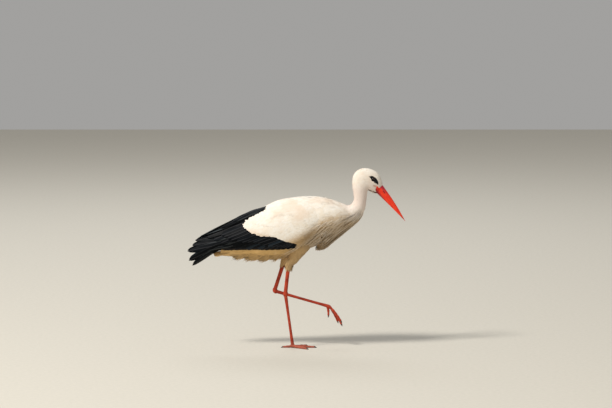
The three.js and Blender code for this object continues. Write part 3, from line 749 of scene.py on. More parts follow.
def near_lids(edge, reach):
    """Whether an edge of the skin lies round an eye, within a share of the lids' opening."""
    one, other = (corner.co for corner in edge.verts)
    if abs(one.x - EYE_CENTRE[0] * MM) >= 0.02 or abs(one.y) <= 0.008:
        return False
    return lid_share(np.array([(one + other) / 2]))[0][0] < reach


skin = closed_mesh("skin", body_rings(dense_stations(), SKIN_COLUMNS, depth_share=1.0))
work = bmesh.new()
work.from_mesh(skin.data)
for reach in (2.7, 1.9):
    near = [edge for edge in work.edges if near_lids(edge, reach)]
    bmesh.ops.subdivide_edges(work, edges=near, cuts=1, use_grid_fill=True)
bmesh.ops.triangulate(work, faces=[face for face in work.faces if len(face.verts) > 4])
work.to_mesh(skin.data)
work.free()
write_points(skin.data, press_lids(read_points(skin.data)))
print("body skin", len(skin.data.vertices), "points")

# %% The legs join the skin
for side in LEGS:
    for grid in leg_tubes(side):
        part = closed_mesh("part", grid)
        union = skin.modifiers.new("union", "BOOLEAN")
        union.operation, union.solver, union.object = "UNION", "MANIFOLD", part
        bpy.context.view_layer.objects.active = skin
        bpy.ops.object.modifier_apply(modifier="union")
        bpy.data.objects.remove(part)
print("skin", len(skin.data.vertices), "points")

# %% Webs and folds
WEB_RADII = {"ankle": 20, "toes": 17, "hip": 52}


def soften(mesh, spots, rounds):
    """Smooths a mesh inside spots, each a centre and a radius in millimetres."""
    points = read_points(mesh)
    ends = np.empty(len(mesh.edges) * 2, int)
    mesh.edges.foreach_get("vertices", ends)
    ends = ends.reshape(-1, 2)
    weight = np.zeros(len(points))
    for centre, radius in spots:
        apart = np.linalg.norm(points - np.array(centre) * MM, axis=1) / (radius * MM)
        weight = np.maximum(weight, np.clip(1.6 - 1.6 * apart, 0, 0.7))
    count = np.bincount(ends.ravel(), minlength=len(points))[:, None]
    for _ in range(rounds):
        total = np.zeros_like(points)
        np.add.at(total, ends[:, 0], points[ends[:, 1]])
        np.add.at(total, ends[:, 1], points[ends[:, 0]])
        points = points + (total / count - points) * weight[:, None]
    write_points(mesh, points)


webs = [(leg[joint], radius) for leg in LEGS.values() for joint, radius in WEB_RADII.items()]
soften(skin.data, webs, 8)
skin_points = read_points(skin.data)
skin_points[:, 2] = np.maximum(skin_points[:, 2], 0)  # the standing foot is flat on the floor
write_points(skin.data, skin_points)
print("webs", len(webs))

# %% [markdown]
# ## Markings
# One function says how each place on the bird is marked, and skin and coat both use it: tan below,
# which is partly soil and partly painted shade, a pink blush on the neck, and black on the wing. Bare
# skin has its own marks: the red leg, the black patch round the eye, and the orange corner of the gape.
# %% Marks
# Tan stands for soil and painted shade: on the underside, the breast below the wing and the coverts' low
# front.
TAN_BORDER = (  # x, and the height below which feathers are tan
    (-90, -40, 10, 60, 110, 150, 190, 245, 300),
    (470, 432, 456, 484, 516, 536, 543, 550, 560),
)


def markings(points, seed=None):
    """Tan, blush, dark and chance for each point, in metres."""
    x, _, z = (points / MM).T
    border = np.interp(x, *TAN_BORDER)
    tan = smooth_step(z, border + 22, border - 30)
    blush = smooth_step(z, 540, 600) * smooth_step(z, 690, 640) * smooth_step(x, 200, 240)
    draw = chance.random(len(points)) if seed is None else np.full(len(points), seed)
    return np.stack((tan, blush, np.zeros(len(points)), draw), axis=1)


def line_gap(points, line):
    """Distance in millimetres from a line seen from the side, less its radius there: x, z, radius."""
    flat = points[:, (0, 2)] / MM
    gap = np.full(len(points), np.inf)
    for (*start, r1), (*end, r2) in zip(line[:-1], line[1:]):
        step = np.subtract(end, start)
        share = np.clip((flat - start) @ step / (step @ step), 0, 1)
        apart = np.linalg.norm(flat - start - share[:, None] * step, axis=1)
        gap = np.minimum(gap, apart - (r1 + (r2 - r1) * share))
    return gap


BILL = {"root": (347.5, 639.5), "length": 164, "depth": 38, "width": 27, "pitch": -51.2, "back": -5}
bill_along = np.array((math.cos(math.radians(BILL["pitch"])), 0, math.sin(math.radians(BILL["pitch"]))))
bill_up = np.array((-bill_along[2], 0, bill_along[0]))


def bill_frame(points):
    """Points seen from the side, in metres: x is along the bill from its root, z above its axis."""
    from_root = points / MM - (BILL["root"][0], 0, BILL["root"][1])
    return np.stack((from_root @ bill_along, np.zeros(len(points)), from_root @ bill_up), axis=1) * MM


# Lines of dots on the head, seen from the side: x, z and radius in millimetres.
EYE_PATCH = ((310, 693.5, 1.5), (316, 689, 6.2), (323.5, 683, 9.4), (330.5, 676, 8.8), (337, 668, 5.0),
             (341.5, 660.5, 1.9))
GAPE = ((320, 656.5, 0.6), (327, 654, 3.0), (334, 651.5, 3.6), (340, 650, 3.0))
CHIN_LINE = ((294, 640.5, 0.6), (308, 636.5, 1.3), (322, 631, 2.2), (336, 624, 3.4))
# The same in the bill's frame. The red horn reaches back on to the skin: along the gape and over the culmen.
HORN_PLATE = ((-17, 0.4, 0.6), (-10, -3.6, 5.2), (-4, -6.0, 9.5), (3, -6, 13))
HORN_BAND = ((-2.4, 22, 3.0), (-3.2, 14, 2.6), (-2.0, 8, 3.6), (0, 0, 6))
GAPE_SEAM = ((-15, 0.2, 0.25), (-6, -1.2, 0.45), (4, -1.6, 0.5))


def bare_marks(points):
    """Leg, eye patch, gape and chin line for each point of the skin."""
    _, y, z = (points / MM).T
    leg = smooth_step(z, 344, 328)
    head = (z > 600) & (np.abs(y) > 3)
    eye = smooth_step(line_gap(points, EYE_PATCH), 2.3, 1.3) * head
    gape = smooth_step(line_gap(points, GAPE), 0.7, -0.7) * head
    chin = smooth_step(line_gap(points, CHIN_LINE), 0.7, -0.6) * (z > 600)
    chin = np.maximum(chin, smooth_step(line_gap(bill_frame(points), GAPE_SEAM), 0.4, -0.2) * head)
    return np.stack((leg, eye, gape, chin), axis=1)


def horn_gap(points):
    """Distance from the red horn at the root of the bill, in millimetres; negative on it."""
    at = bill_frame(points)
    gap = np.minimum(line_gap(at, HORN_PLATE), line_gap(at, HORN_BAND))
    return np.where(points[:, 2] > 0.6, gap, 99.0)


give(skin.data, "marks", markings(skin_points, seed=0.5))
give(skin.data, "bare", bare_marks(skin_points))
horn = smooth_step(horn_gap(skin_points), 0.5, -0.5)
from_root = bill_frame(skin_points)[:, 0] / MM
horn_rise = horn * (0.35 + 0.6 * smooth_step(from_root, -12, -1)) * MM
skin_points[:, 1] += np.sign(skin_points[:, 1]) * horn_rise
write_points(skin.data, skin_points)
give(skin.data, "horn", np.stack((horn,) * 4, axis=1))
print("marks of the skin", [entry.name for entry in skin.data.attributes if entry.data_type == "FLOAT_COLOR"])

# %% [markdown]
# ## Colours of plumage
# A white feather isn't one white. It is cream where it is old, greyer towards its root, and each one
# differs a little from the next. Barbs are fine lines that slant out from the shaft, and a bump makes
# them catch the light. Black feathers have the same barbs with a cold gloss.
# %% Plumage
CREAM = (0.83, 0.745, 0.62)
SNOW = (0.90, 0.86, 0.79)
PATCH = (0.76, 0.58, 0.43)
PINK = (0.78, 0.65, 0.58)
TAN = (0.61, 0.385, 0.145)
BROWN = (0.35, 0.205, 0.068)
GROUND_BOUNCE_OCHRE = (0.80, 0.47, 0.12)
UMBER_SOIL_AND_SHADE = (0.25, 0.145, 0.045)
ROOT_GREY = (0.62, 0.55, 0.45)
BARB_SHADE = (0.55, 0.46, 0.35)
FURROW_SHADE = (0.15, 0.09, 0.037)
BARB_WAVES = 1300.0  # radians to a tenth of a metre of feather


def channels(tree, title):
    """The four numbers that `give` stored."""
    stored = node(tree, "ShaderNodeAttribute", {"attribute_name": title})
    first = node(tree, "ShaderNodeSeparateColor", None, {"Color": stored})
    return first, first.output(1), first.output(2), stored.output("Alpha")


def barbs(tree):
    """Fine slanting lines from a shaft, and the distances from the shaft and along it."""
    where = node(tree, "ShaderNodeUVMap", {"uv_map": "vane"})
    across, along = part_of(tree, where, "X"), part_of(tree, where, "Y")
    from_shaft = across.math("ABSOLUTE")
    waves = ((along - from_shaft * 0.9) * BARB_WAVES).math("SINE")
    return waves, from_shaft, along


def white_colour(tree, tan, blush, chance_here):
    """White above and tan below, more orange under the wing and browner on the low breast."""
    spot = place(tree)
    broad = noise(tree, spot, 9.0, 3.0).band(0.48, 0.68)
    fine = noise(tree, spot, 34.0, 3.0).band(0.45, 0.75)
    base = (chance_here * 0.6 + fine * 0.4).blend(SNOW, CREAM)
    base = (broad * 0.5).blend(base, PATCH)
    base = (blush * 0.75).blend(base, PINK)
    shade = noise(tree, spot, 16.0, 3.0).band(0.35, 0.7)
    under = (shade * 0.6 + chance_here * 0.4).blend(TAN, BROWN)
    x, z = part_of(tree, spot, "X"), part_of(tree, spot, "Z")
    # Painted light bounced up from the ground: under the wing the tan in shade turns orange.
    rear = z.band(0.42, 0.395) * x.band(0.02, -0.05)
    under = (rear * (z.band(0.366, 0.386) * 0.4 + 0.15)).blend(under, GROUND_BOUNCE_OCHRE)
    # Browner on the low breast and the front of the belly: soil and painted shade.
    under = (z.band(0.53, 0.45) * x.band(0.015, 0.08) * 0.9).blend(under, UMBER_SOIL_AND_SHADE)
    return (tan * 0.9).blend(base, under)


def paint_white(tree):
    tan, blush, gap, chance_here = channels(tree, "marks")
    waves, _, along = barbs(tree)
    colour = white_colour(tree, tan, blush, chance_here)
    colour = (along.band(0.09, 0.0) * 0.25).blend(colour, ROOT_GREY)
    colour = (waves.band(-1.0, 1.0) * 0.06).blend(colour, BARB_SHADE)
    # Painted shade in furrows between locks, along folds and between clumps: the third number of the marks.
    colour = (gap * 0.75).blend(colour, FURROW_SHADE)
    return {
        "Base Color": colour,
        "Roughness": 0.82,
        "Sheen Weight": 0.06,
        "Sheen Roughness": 0.5,
        "Specular IOR Level": 0.1,
        "Normal": bump(tree, waves, 0.0001, 0.22),
    }


def paint_black(tree):
    waves, from_shaft, _ = barbs(tree)
    _, _, _, chance_here = channels(tree, "marks")
    colour = chance_here.blend((0.0012, 0.0016, 0.0020), (0.0034, 0.0045, 0.006))
    # A few feathers get a painted blue-grey sheen.
    colour = chance_here.band(0.80, 0.98).blend(colour, (0.013, 0.020, 0.027))
    colour = (waves.band(-1.0, 1.0) * 0.2).blend(colour, (0.012, 0.016, 0.021))
    # Painted highlights along the edges of some vanes.
    rim = from_shaft.band(0.116, 0.134) * chance_here.band(0.30, 0.70)
    colour = (rim * 0.6).blend(colour, (0.08, 0.09, 0.095))
    colour = (from_shaft.band(0.018, 0.004) * 0.6).blend(colour, (0.05, 0.05, 0.055))
    streak = noise(tree, place(tree), 26.0, 3.0)
    return {
        "Base Color": colour,
        "Roughness": streak.band(0.3, 0.7) * 0.14 + 0.42,
        "Specular IOR Level": 0.05,
        "Normal": bump(tree, waves, 0.0001, 0.4),
    }


white_plumage = surface("white_plumage", paint_white)
black_plumage = surface("black_plumage", paint_black)
print("plumage", white_plumage.name, black_plumage.name)

# %% Skin colours
def horn_red(tree):
    """Red horn, streaked along the bill, darker below, at the root and in the nostrils; and its streaks."""
    spot = place(tree)
    x, y, z = (part_of(tree, spot, axis) for axis in "XYZ")
    x, z = x - BILL["root"][0] * MM, z - BILL["root"][1] * MM
    along = x * float(bill_along[0]) + z * float(bill_along[2])
    above = x * float(bill_up[0]) + z * float(bill_up[2])
    stretched = node(tree, "ShaderNodeCombineXYZ", None, {0: along * 0.16, 1: above, 2: y})
    streaks = noise(tree, stretched, 260.0)
    dapple = noise(tree, spot, 40.0, 3.0)
    colour = streaks.band(0.35, 0.68).blend((0.82, 0.024, 0.008), (0.97, 0.066, 0.014))
    colour = (dapple.band(0.5, 0.75) * 0.5).blend(colour, (0.92, 0.10, 0.030))
    # Painted shade along the lower part of the bill.
    lower = (above + along * 0.085).band(-0.002, -0.013)
    colour = (lower * 0.85).blend(colour, (0.24, 0.010, 0.018))
    # Painted shade over the culmen near the root.
    culmen = along.band(0.05, -0.004) * above.band(0.003, 0.012)
    colour = (culmen * 0.8).blend(colour, (0.34, 0.014, 0.045))
    colour = (along.band(0.11, 0.165) * 0.7).blend(colour, (0.38, 0.035, 0.02))
    slit = length_of((along - 0.021) * 0.16, above - 0.0072)
    colour = slit.band(0.0015, 0.0009).blend(colour, (0.05, 0.006, 0.006))
    return colour, streaks


def paint_skin(tree):
    tan, blush, _, chance_here = channels(tree, "marks")
    leg, eye, gape, chin = channels(tree, "bare")
    spot = place(tree)
    sockets = {"Vector": spot, "Scale": 340.0}
    scaly = node(tree, "ShaderNodeTexVoronoi", {"feature": "DISTANCE_TO_EDGE"}, sockets)
    dapple = noise(tree, spot, 45.0, 4.0).band(0.3, 0.7)
    red = dapple.blend((0.34, 0.028, 0.010), (0.54, 0.062, 0.022))
    pale = noise(tree, spot, 90.0, 2.0).band(0.55, 0.8) * 0.1
    red = pale.blend(red, (0.62, 0.27, 0.22))
    red = (scaly.band(0.10, 0.0) * 0.45).blend(red, (0.16, 0.03, 0.02))
    red = (part_of(tree, spot, "Z").band(0.035, 0.0) * 0.35).blend(red, (0.30, 0.20, 0.14))
    colour = white_colour(tree, tan, blush, chance_here)
    colour = (gape * 0.7).blend(colour, (0.62, 0.20, 0.10))
    colour = eye.blend(colour, (0.006, 0.0065, 0.008))
    horn_here = channels(tree, "horn")[0]
    colour = horn_here.blend(colour, horn_red(tree)[0])
    colour = chin.blend(colour, (0.07, 0.012, 0.010))
    colour = leg.blend(colour, red)
    relief = leg * scaly.band(0.0, 0.18) + noise(tree, spot, 900.0) * 0.4
    return {
        "Base Color": colour,
        "Roughness": dapple * 0.12 + 0.48 - horn_here * 0.12 + eye * 0.2,
        "Specular IOR Level": 0.2,
        "Normal": bump(tree, relief, 0.0004, 0.6),
    }


FLESH = ("head", "neck", "trunk", "thigh", "leg_", "foot_")
flesh = [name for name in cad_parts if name.startswith(FLESH) and "claw" not in name]
skin.data.materials.clear()
settle(skin, surface("bare_skin", paint_skin), "leg_skin", *flesh)
print("nodes of flesh", len(flesh))

# %% [markdown]
# ## The coat of the body
# Rows of tufts run from the bill back. They are smallest on the face, and grow down the neck to
# the belly. Each starts in the skin and follows the body, so that a row covers the roots of the next.
# Roots on bare skin are left out, and a tuft that would reach over it is cut short.
# %% Body coat
GROWTH = (0, 1, 2, 4, 6, 8, 10, 12, 14, 17, 20)  # stations, and millimetres there:
LENGTHS = (5.4, 6.9, 8.6, 11.8, 17, 22.5, 33, 41, 44, 44, 36)
WIDTHS = (2.4, 2.9, 3.5, 4.7, 6.3, 7.7, 10.5, 13, 15, 15, 14)
GAPS = (1.25, 1.5, 1.8, 2.3, 3.0, 3.6, 4.8, 6.2, 7.0, 7.2, 6.5)
TUFT = np.array((0.7, 1.0, 1.0, 0.8, 0.16))  # share of the full width at each station


def body_spacing(t):
    gap = np.interp(t * LAST_STATION, GROWTH, GAPS) * MM
    return gap, gap


SHOULDER_EDGE = ((404, 430, 458, 490, 535, 574, 596), (14, 46, 80, 104, 119, 102, 66))  # z, and x there


def behind_shoulder(x, z):
    """How far behind the front edge of the folded wing a place is, seen from the side, in millimetres."""
    return np.interp(z, *SHOULDER_EDGE) - x


def under_wing(points):
    x, _, z = (points / MM).T
    return (behind_shoulder(x, z) > 16) & (x > -300) & (z > cloak_at(x)[2] + 6)


def bare_gap(points):
    """Distance from the nearest bare skin on the head, in millimetres."""
    gaps = [line_gap(points, line) for line in (EYE_PATCH, GAPE, CHIN_LINE)] + [horn_gap(points)]
    return np.where(points[:, 2] > 0.6, np.min(gaps, axis=0), 99.0)


def body_coat(name, from_station, to_station):
    """One piece of coat between two stations of the body."""
    low, high = from_station / LAST_STATION, to_station / LAST_STATION
    t, a = scatter(body_form, low, high, 0, 1, body_spacing)
    points, _, along, _ = body_form.look(t, a)
    gap = bare_gap(points)
    kept = (gap > 0.3) & ~under_wing(points)
    t, a, points, along, gap = (v[kept] for v in (t, a, points, along, gap))
    s = t * LAST_STATION
    length = np.interp(s, GROWTH, LENGTHS) * chance.uniform(0.8, 1.2, len(t))
    ahead = bare_gap(points + unit(along) * (length * MM)[:, None])
    length = np.where(ahead < 0.8, np.clip(np.minimum(length, gap + 1.2), 1.8, None), length)
    width = np.interp(s, GROWTH, WIDTHS) * chance.uniform(0.8, 1.2, len(t)) * np.minimum(1, length / 4)
    depth = np.interp(t * (BODY_ROWS - 1), np.arange(BODY_ROWS), coat_depth)
    lift = chance.normal(0, 0.05, len(t)) * width
    droop = np.interp(s, (0, 9, 12, 20), (0, 0.05, 0.22, 0.12))
    yaw = chance.normal(0, 0.10, len(t)) + 0.06 * np.sin(points[:, 0] * 90 + points[:, 2] * 130)
    spine, ups = lay(body_form, t, a, length, depth, lift, droop, yaw, 4, curl=0.03 * length)
    root_uv = np.stack((a % 1, (t - low) / (high - low)), axis=1)
    batch = tufts(spine, ups, width, TUFT, 0.10 * width.mean(), root_uv, markings(points), 0.06, 0.6)
    Coat(name, "plumage_white").add(batch).build(white_plumage)


# %% The cloak of the wings
CLOAK = (  # x, ridge, widest level, lower edge, half width, exponent; millimetres
    (150, 600, 510, 432, 78, 2.2),
    (124, 608, 512, 424, 90, 2.3),
    (60, 612, 504, 412, 99, 2.3),
    (0, 606, 494, 407, 100, 2.3),
    (-60, 594, 482, 404, 95, 2.2),
    (-112, 571, 470, 401, 85, 2.0),
    (-160, 555, 455, 399, 74, 1.8),
    (-210, 532, 440, 397, 63, 1.65),
    (-260, 506, 426, 395, 54, 1.6),
    (-308, 482, 412, 391, 46, 1.6),
    (-420, 430, 366, 322, 34, 1.6),
    (-450, 418, 354, 304, 31, 1.6),
)
UNDERCUT = 1.45
CLOAK_FRONT, CLOAK_REAR = 150, -440
cloak_curve = through(CLOAK, np.linspace(0, len(CLOAK) - 1, 900))[::-1]


def cloak_at(x):
    """Ridge, widest level, edge, half width and exponent of the cloak at x."""
    return [np.interp(x, cloak_curve[:, 0], cloak_curve[:, k]) for k in range(1, 6)]


def last_turn(exponent):
    """Where the form turns in to its lower edge, in radians from the ridge."""
    return math.pi - np.arccos((1 / UNDERCUT) ** (exponent / 2))


def cloak_rings(x, columns, side):
    """Points from ridge to lower edge at each x."""
    ridge, wide, edge, half, exponent = (v[:, None] for v in cloak_at(x))
    turn = np.linspace(0.0, 1, columns)[None] * last_turn(exponent)
    rise = squared(np.cos(turn), exponent)
    reach = np.where(rise > 0, ridge - wide, (wide - edge) * UNDERCUT)
    y = np.maximum(half * squared(np.sin(turn), exponent), 0.15)
    rings = np.stack(np.broadcast_arrays(x[:, None], side * y, wide + rise * reach), axis=2)
    return rings * MM


cloak_x = np.linspace(CLOAK_FRONT, CLOAK_REAR, 296)
cloaks = {
    name: Form(cloak_rings(cloak_x, 120, side), wraps=False, faces=side) for name, side in SIDES.items()
}
print("cloak rings", len(cloak_x))

# %% Head, neck and trunk
REGIONS = ("face", "crown", "neck", "breast", "belly")
REGION_ENDS = (0.02, 2.4, 5.4, 9.2, 13.0, 19.9)  # stations
for region, start, end in zip(REGIONS, REGION_ENDS, REGION_ENDS[1:]):
    body_coat(f"coat_{region}", start, end)

# %% The fringe below
HANG = np.array((0.6, 1.0, 0.95, 0.7, 0.4, 0.06))


def fringe(count):
    """Long soft tufts under the belly and the vent, drawn into uneven clumps that hang."""
    s = chance.uniform(13.2, 18.6, count)
    a = 0.5 + chance.uniform(-0.17, 0.17, count)
    clump = np.sin(s * 7.0) + np.sin(s * 17.0 + 1.0) * 0.7 + np.sin(a * 60 + s * 5) * 0.5
    length = (34 + 9 * clump) * chance.uniform(0.8, 1.15, count)
    width = chance.uniform(4.5, 8.0, count)
    t = s / LAST_STATION
    points, _, _, _ = body_form.look(t, a)
    lift = np.where(points[:, 2] > 0.384, -2.0, 2.0)
    droop = 0.35 + 0.25 * np.clip(clump, 0, 2)
    yaw = chance.normal(0, 0.2, count)
    spine, ups = lay(body_form, t, a, length, 9, lift, droop, yaw, 5)
    hang = np.clip(clump + 0.6, 0, 2) * chance.uniform(2.5, 9, count)
    spine[:, :, 2] -= (hang * MM)[:, None] * np.linspace(0, 1, 6) ** 2.2
    root_uv = np.stack((a, (s - 13) / 6), axis=1)
    marks = markings(points)
    # Tufts between the hanging clumps get painted shade.
    marks[:, 2] = np.clip(-clump, 0, 1) * 0.6
    return tufts(spine, ups, width, HANG, 0.6, root_uv, marks, 0.3, 0.4)


Coat("coat_fringe", "plumage_cream").add(fringe(2200)).build(white_plumage)

# %% [markdown]
# ## Breast plumes and thighs
# The long plumes of the lower neck lie on a sheet of their own that hangs in front of the breast.
# Their tips draw together in locks, so that the sheet looks combed and damp. The thighs have soft
# feathers whose ends hang past the cuff.
# %% The sheet of the breast
BIB = (  # front edge x and z, depth of the widest level behind it, half width, bend; millimetres, radians
    (290, 566, 26, 29, 1.5),
    (272, 527, 42, 42, 1.5),
    (246, 499, 60, 62, 1.5),
    (216, 474, 76, 80, 1.5),
    (186, 450, 84, 84, 1.5),
    (161, 430, 80, 85, 1.5),
    (140, 414, 64, 75, 1.6),
    (121, 406, 42, 50, 1.85),
    (104, 404, 28, 28, 2.1),
    (90, 405, 16, 14, 2.3),
)
BIB_KEEL = 1.25  # more than 1 is narrower in front than an ellipse


def bib_rings(rows, columns):
    """A sheet bent round the front of the breast, from the right flank to the left."""
    x, z, depth, width, bend = through(BIB, np.linspace(0, len(BIB) - 1, rows)).T[..., None]
    along = unit(np.gradient(np.hstack((x, z)), axis=0))
    out_x, out_z = -along[:, 1:], along[:, :1]
    turn = np.linspace(-1, 1, columns)[None] * bend
    reach = depth * (np.cos(turn) - 1)
    side = width * np.sign(turn) * np.abs(np.sin(turn)) ** BIB_KEEL
    return np.stack((x + out_x * reach, side, z + out_z * reach), axis=2) * MM


bib_form = Form(bib_rings(160, 90), wraps=False, faces=-1)
print("bib rings", bib_form.rows)


# %% The bed under the breast's plumes
def shell(name, form, t, a, depth, thickness, seed):
    """A thin closed shell depth(t, x, z) millimetres under a form, with its points and its markings."""
    every_t, every_a = (grid.ravel() for grid in np.meshgrid(t, a, indexing="ij"))
    points, normal, _, _ = form.look(every_t, every_a)
    x, _, z = (points / MM).T
    under = depth(every_t, x, z)
    outer, inner = (
        (points - normal * (under + more)[:, None] * MM).reshape(len(t), len(a), 3) for more in (0, thickness)
    )
    made = closed_mesh(name, np.concatenate((outer, inner[:, ::-1]), axis=1))
    points = read_points(made.data)
    return made, points, markings(points, seed)


def breast_bed_depth(t, x, z):
    return np.interp(t, (0.2, 0.6, 0.93), (9, 6, 4))


def paint_breast_bed(tree):
    tan, blush, _, chance_here = channels(tree, "marks")
    return {"Base Color": white_colour(tree, tan, blush, chance_here), "Roughness": 0.85}


bed_t, bed_a = np.linspace(0.2, 0.93, 90), np.linspace(0.06, 0.94, 60)
breast_bed, _, marks = shell("breast_bed", bib_form, bed_t, bed_a, breast_bed_depth, 2, seed=0.8)
give(breast_bed.data, "marks", marks)
settle(breast_bed, surface("bed_breast", paint_breast_bed), "plumage_cream", smooth=False)
print("breast bed", len(breast_bed.data.polygons), "faces")

# %% Breast plumes
PLUME = np.array((0.5, 0.85, 1.0, 0.92, 0.74, 0.5, 0.26, 0.06))
LOCKS = 17
LOCK_WANDER = 0.35  # how far a lock strays to the side, in locks
GROUND_RISE = -4.0  # plumes in the ground of the furrows, in millimetres
LOWER_END = 405  # how low the sheet's plumes reach


def room_ahead(along, t):
    """How far it is to the end of a form, in millimetres."""
    return np.linalg.norm(along, axis=1) * (0.985 - t) / MM


def lock_side(lock, t, phase):
    """The `a` of a lock at t. Locks wind, and their tips more than their roots."""
    return (lock + 0.5 + LOCK_WANDER * np.sin(t * 7 + phase)) / LOCKS


def plume_lengths(lock, t, x, z, along):
    """Plumes end before the sheet does, and raggedly behind and below."""
    count = len(t)
    high = z - 0.6 * (x - 95) > 424
    rear = np.where(high, chance.uniform(60, 110, count), chance.uniform(92, 112, count))
    ragged = LOWER_END + 10 * np.sin(lock * 5.1) + chance.uniform(-7, 6, count)
    spare = np.minimum((x - rear) / 0.76, (z - ragged) / 0.4)
    length = np.interp(t, (0, 0.3, 1), (52, 84, 74)) * chance.uniform(0.75, 1.2, count)
    return np.minimum(length, np.minimum(spare, room_ahead(along, t)))


def plumes(count, ground=False):
    """Plumes in locks with furrows between them, or the broader ones in the ground of the furrows."""
    t = chance.uniform(0.0, 0.93, count)
    lock = chance.integers(0, LOCKS, count)
    spread = chance.normal(0, 0.18, count)
    a = chance.uniform(0, 1, count) if ground else lock_side(lock + spread, t, 1.0)
    points, _, along, _ = bib_form.look(t, a)
    x, _, z = (points / MM).T
    length = plume_lengths(lock, t, x, z, along)
    kept = (a > 0.01) & (a < 0.99) & (length > 12)
    t, a, lock, spread, points, length, z = (v[kept] for v in (t, a, lock, spread, points, length, z))
    count, from_front = len(t), np.abs(a - 0.5)
    width = chance.uniform(3.0, 4.4, count)
    if ground:
        rise, width = np.full(count, GROUND_RISE), width * 1.8
    else:
        rise = 3.8 - 30.0 * spread**2 + chance.normal(0, 0.3, count) + 1.2 * np.sin(lock * 2.4)
    rise = rise - 10 * smooth_step(from_front, 0.40, 0.5)
    dive = 3 * smooth_step(points[:, 0] / MM - length * 0.75, 126, 100) * smooth_step(from_front, 0.10, 0.20)
    yaw = chance.normal(0, 0.04, count)
    spine, ups = lay(bib_form, t, a, length, 8, rise, 0.06, yaw, 7, curl=dive)
    share = np.linspace(0, 1, 8)
    hang = smooth_step(z, 470, 420) * chance.uniform(2, 12, count) * MM
    spine[:, :, 2] -= hang[:, None] * share**2
    marks = markings(points)
    if ground:
        # The ground of the furrows gets full painted shade, and more tan low down.
        marks[:, 0], marks[:, 2] = np.interp(z, (490, 545), (1, 0.3)), 1.0
    else:
        goal, _, _, _ = bib_form.look(t, lock_side(lock, t, 1.6))
        spine += ((goal - points) * 0.7)[:, None] * (share**1.6)[:, None]
        # The crest of each lock gets a painted highlight, less tan, and plumes off it get painted shade.
        crest = smooth_step(np.abs(spread), 0.12, 0.03)
        marks[:, 0] *= 1 - 0.42 * crest * np.interp(z, (430, 490), (0.2, 1))
        marks[:, 2] = 0.95 * smooth_step(np.abs(spread), 0.07, 0.23)
    # Less painted shade high up and towards the rear of the sheet.
    middle_x = spine[:, 4, 0] / MM
    marks[:, 2] *= np.interp(z, (490, 545), (1, 0.12)) * np.interp(middle_x, (100, 135), (0.1, 1))
    return tufts(spine, ups, width, PLUME, 0.6, np.stack((a, t), axis=1), marks, 0.35, 0.25)


breast = Coat("breast_plumes_coat", "plumage_cream", "breast_plumes")
breast.add(plumes(2200)).add(plumes(900, ground=True)).build(white_plumage)

# %% Flank plumes
FLANK_LOCK = 10.5  # from one furrow of the flank to the next
FLANK_TOP = ((60, 130, 200), (500, 522, 540))  # x, and the height where the plumes begin


def flank_plumes(count):
    """Plumes on the flanks that run on from the breast to the edge of the wing and to the thighs."""
    s = chance.uniform(10.4, 15.0, count)
    a = 0.5 + chance.uniform(-0.30, 0.30, count)
    t = s / LAST_STATION
    points, _, _, _ = body_form.look(t, a)
    x, _, z = (points / MM).T
    kept = ~under_wing(points) & (z < np.interp(x, *FLANK_TOP))
    s, a, t, points, x, z = (v[kept] for v in (s, a, t, points, x, z))
    count = len(t)
    lock = (0.72 * z - 0.69 * x) / FLANK_LOCK + 0.3 * np.sin(x * 0.05)
    crest = smooth_step(np.abs(lock - np.floor(lock) - 0.5), 0.32, 0.10)
    length = np.interp(s, (10.4, 15), (46, 58)) * chance.uniform(0.75, 1.2, count)
    width = chance.uniform(4.0, 6.0, count)
    rise = -1.0 + 5.5 * crest
    droop = np.interp(s, (10, 12.5, 15), (0.30, 0.55, 0.45))
    yaw = chance.normal(0, 0.05, count)
    spine, ups = lay(body_form, t, a, length, 9, rise, droop, yaw, 6, curl=4)
    marks = markings(points)
    # A painted highlight on the crests of the locks, and painted shade in the furrows between them.
    marks[:, 0] *= 1 - 0.25 * crest
    marks[:, 2] = 0.8 * (1 - crest) * np.interp(z, (490, 530), (1, 0.5))
    root_uv = np.stack((a, (s - 10) / 6), axis=1)
    return tufts(spine, ups, width, PLUME[[0, 1, 2, 3, 5, 6, 7]], 0.6, root_uv, marks, 0.35, 0.3)


Coat("coat_flank", "plumage_cream").add(flank_plumes(4600)).build(white_plumage)

# %% Thighs
THIGH_GIRTH = (38, 36, 29, 20, 14.5, 11, 9)
CUFF_HANG = 30  # how far the form goes on past the cuff, so that tips can hang there
THIGH_GAP = 3.3
THIGH_SKIRT = 11  # how far the tips in front stand off, in millimetres
THIGH_TUFT = np.array((0.55, 0.9, 1.0, 0.8, 0.45, 0.08))


def thigh_form(side):
    _, cuff, _, _, up = leg_points(side)
    rings = tube(thigh_line(side, cuff - up * CUFF_HANG), THIGH_GIRTH, 2.0, 60, 0.74)
    return Form(rings[len(CAP) : -len(CAP)], wraps=True)


def thigh_spacing(t):
    return THIGH_GAP * MM, THIGH_GAP * MM


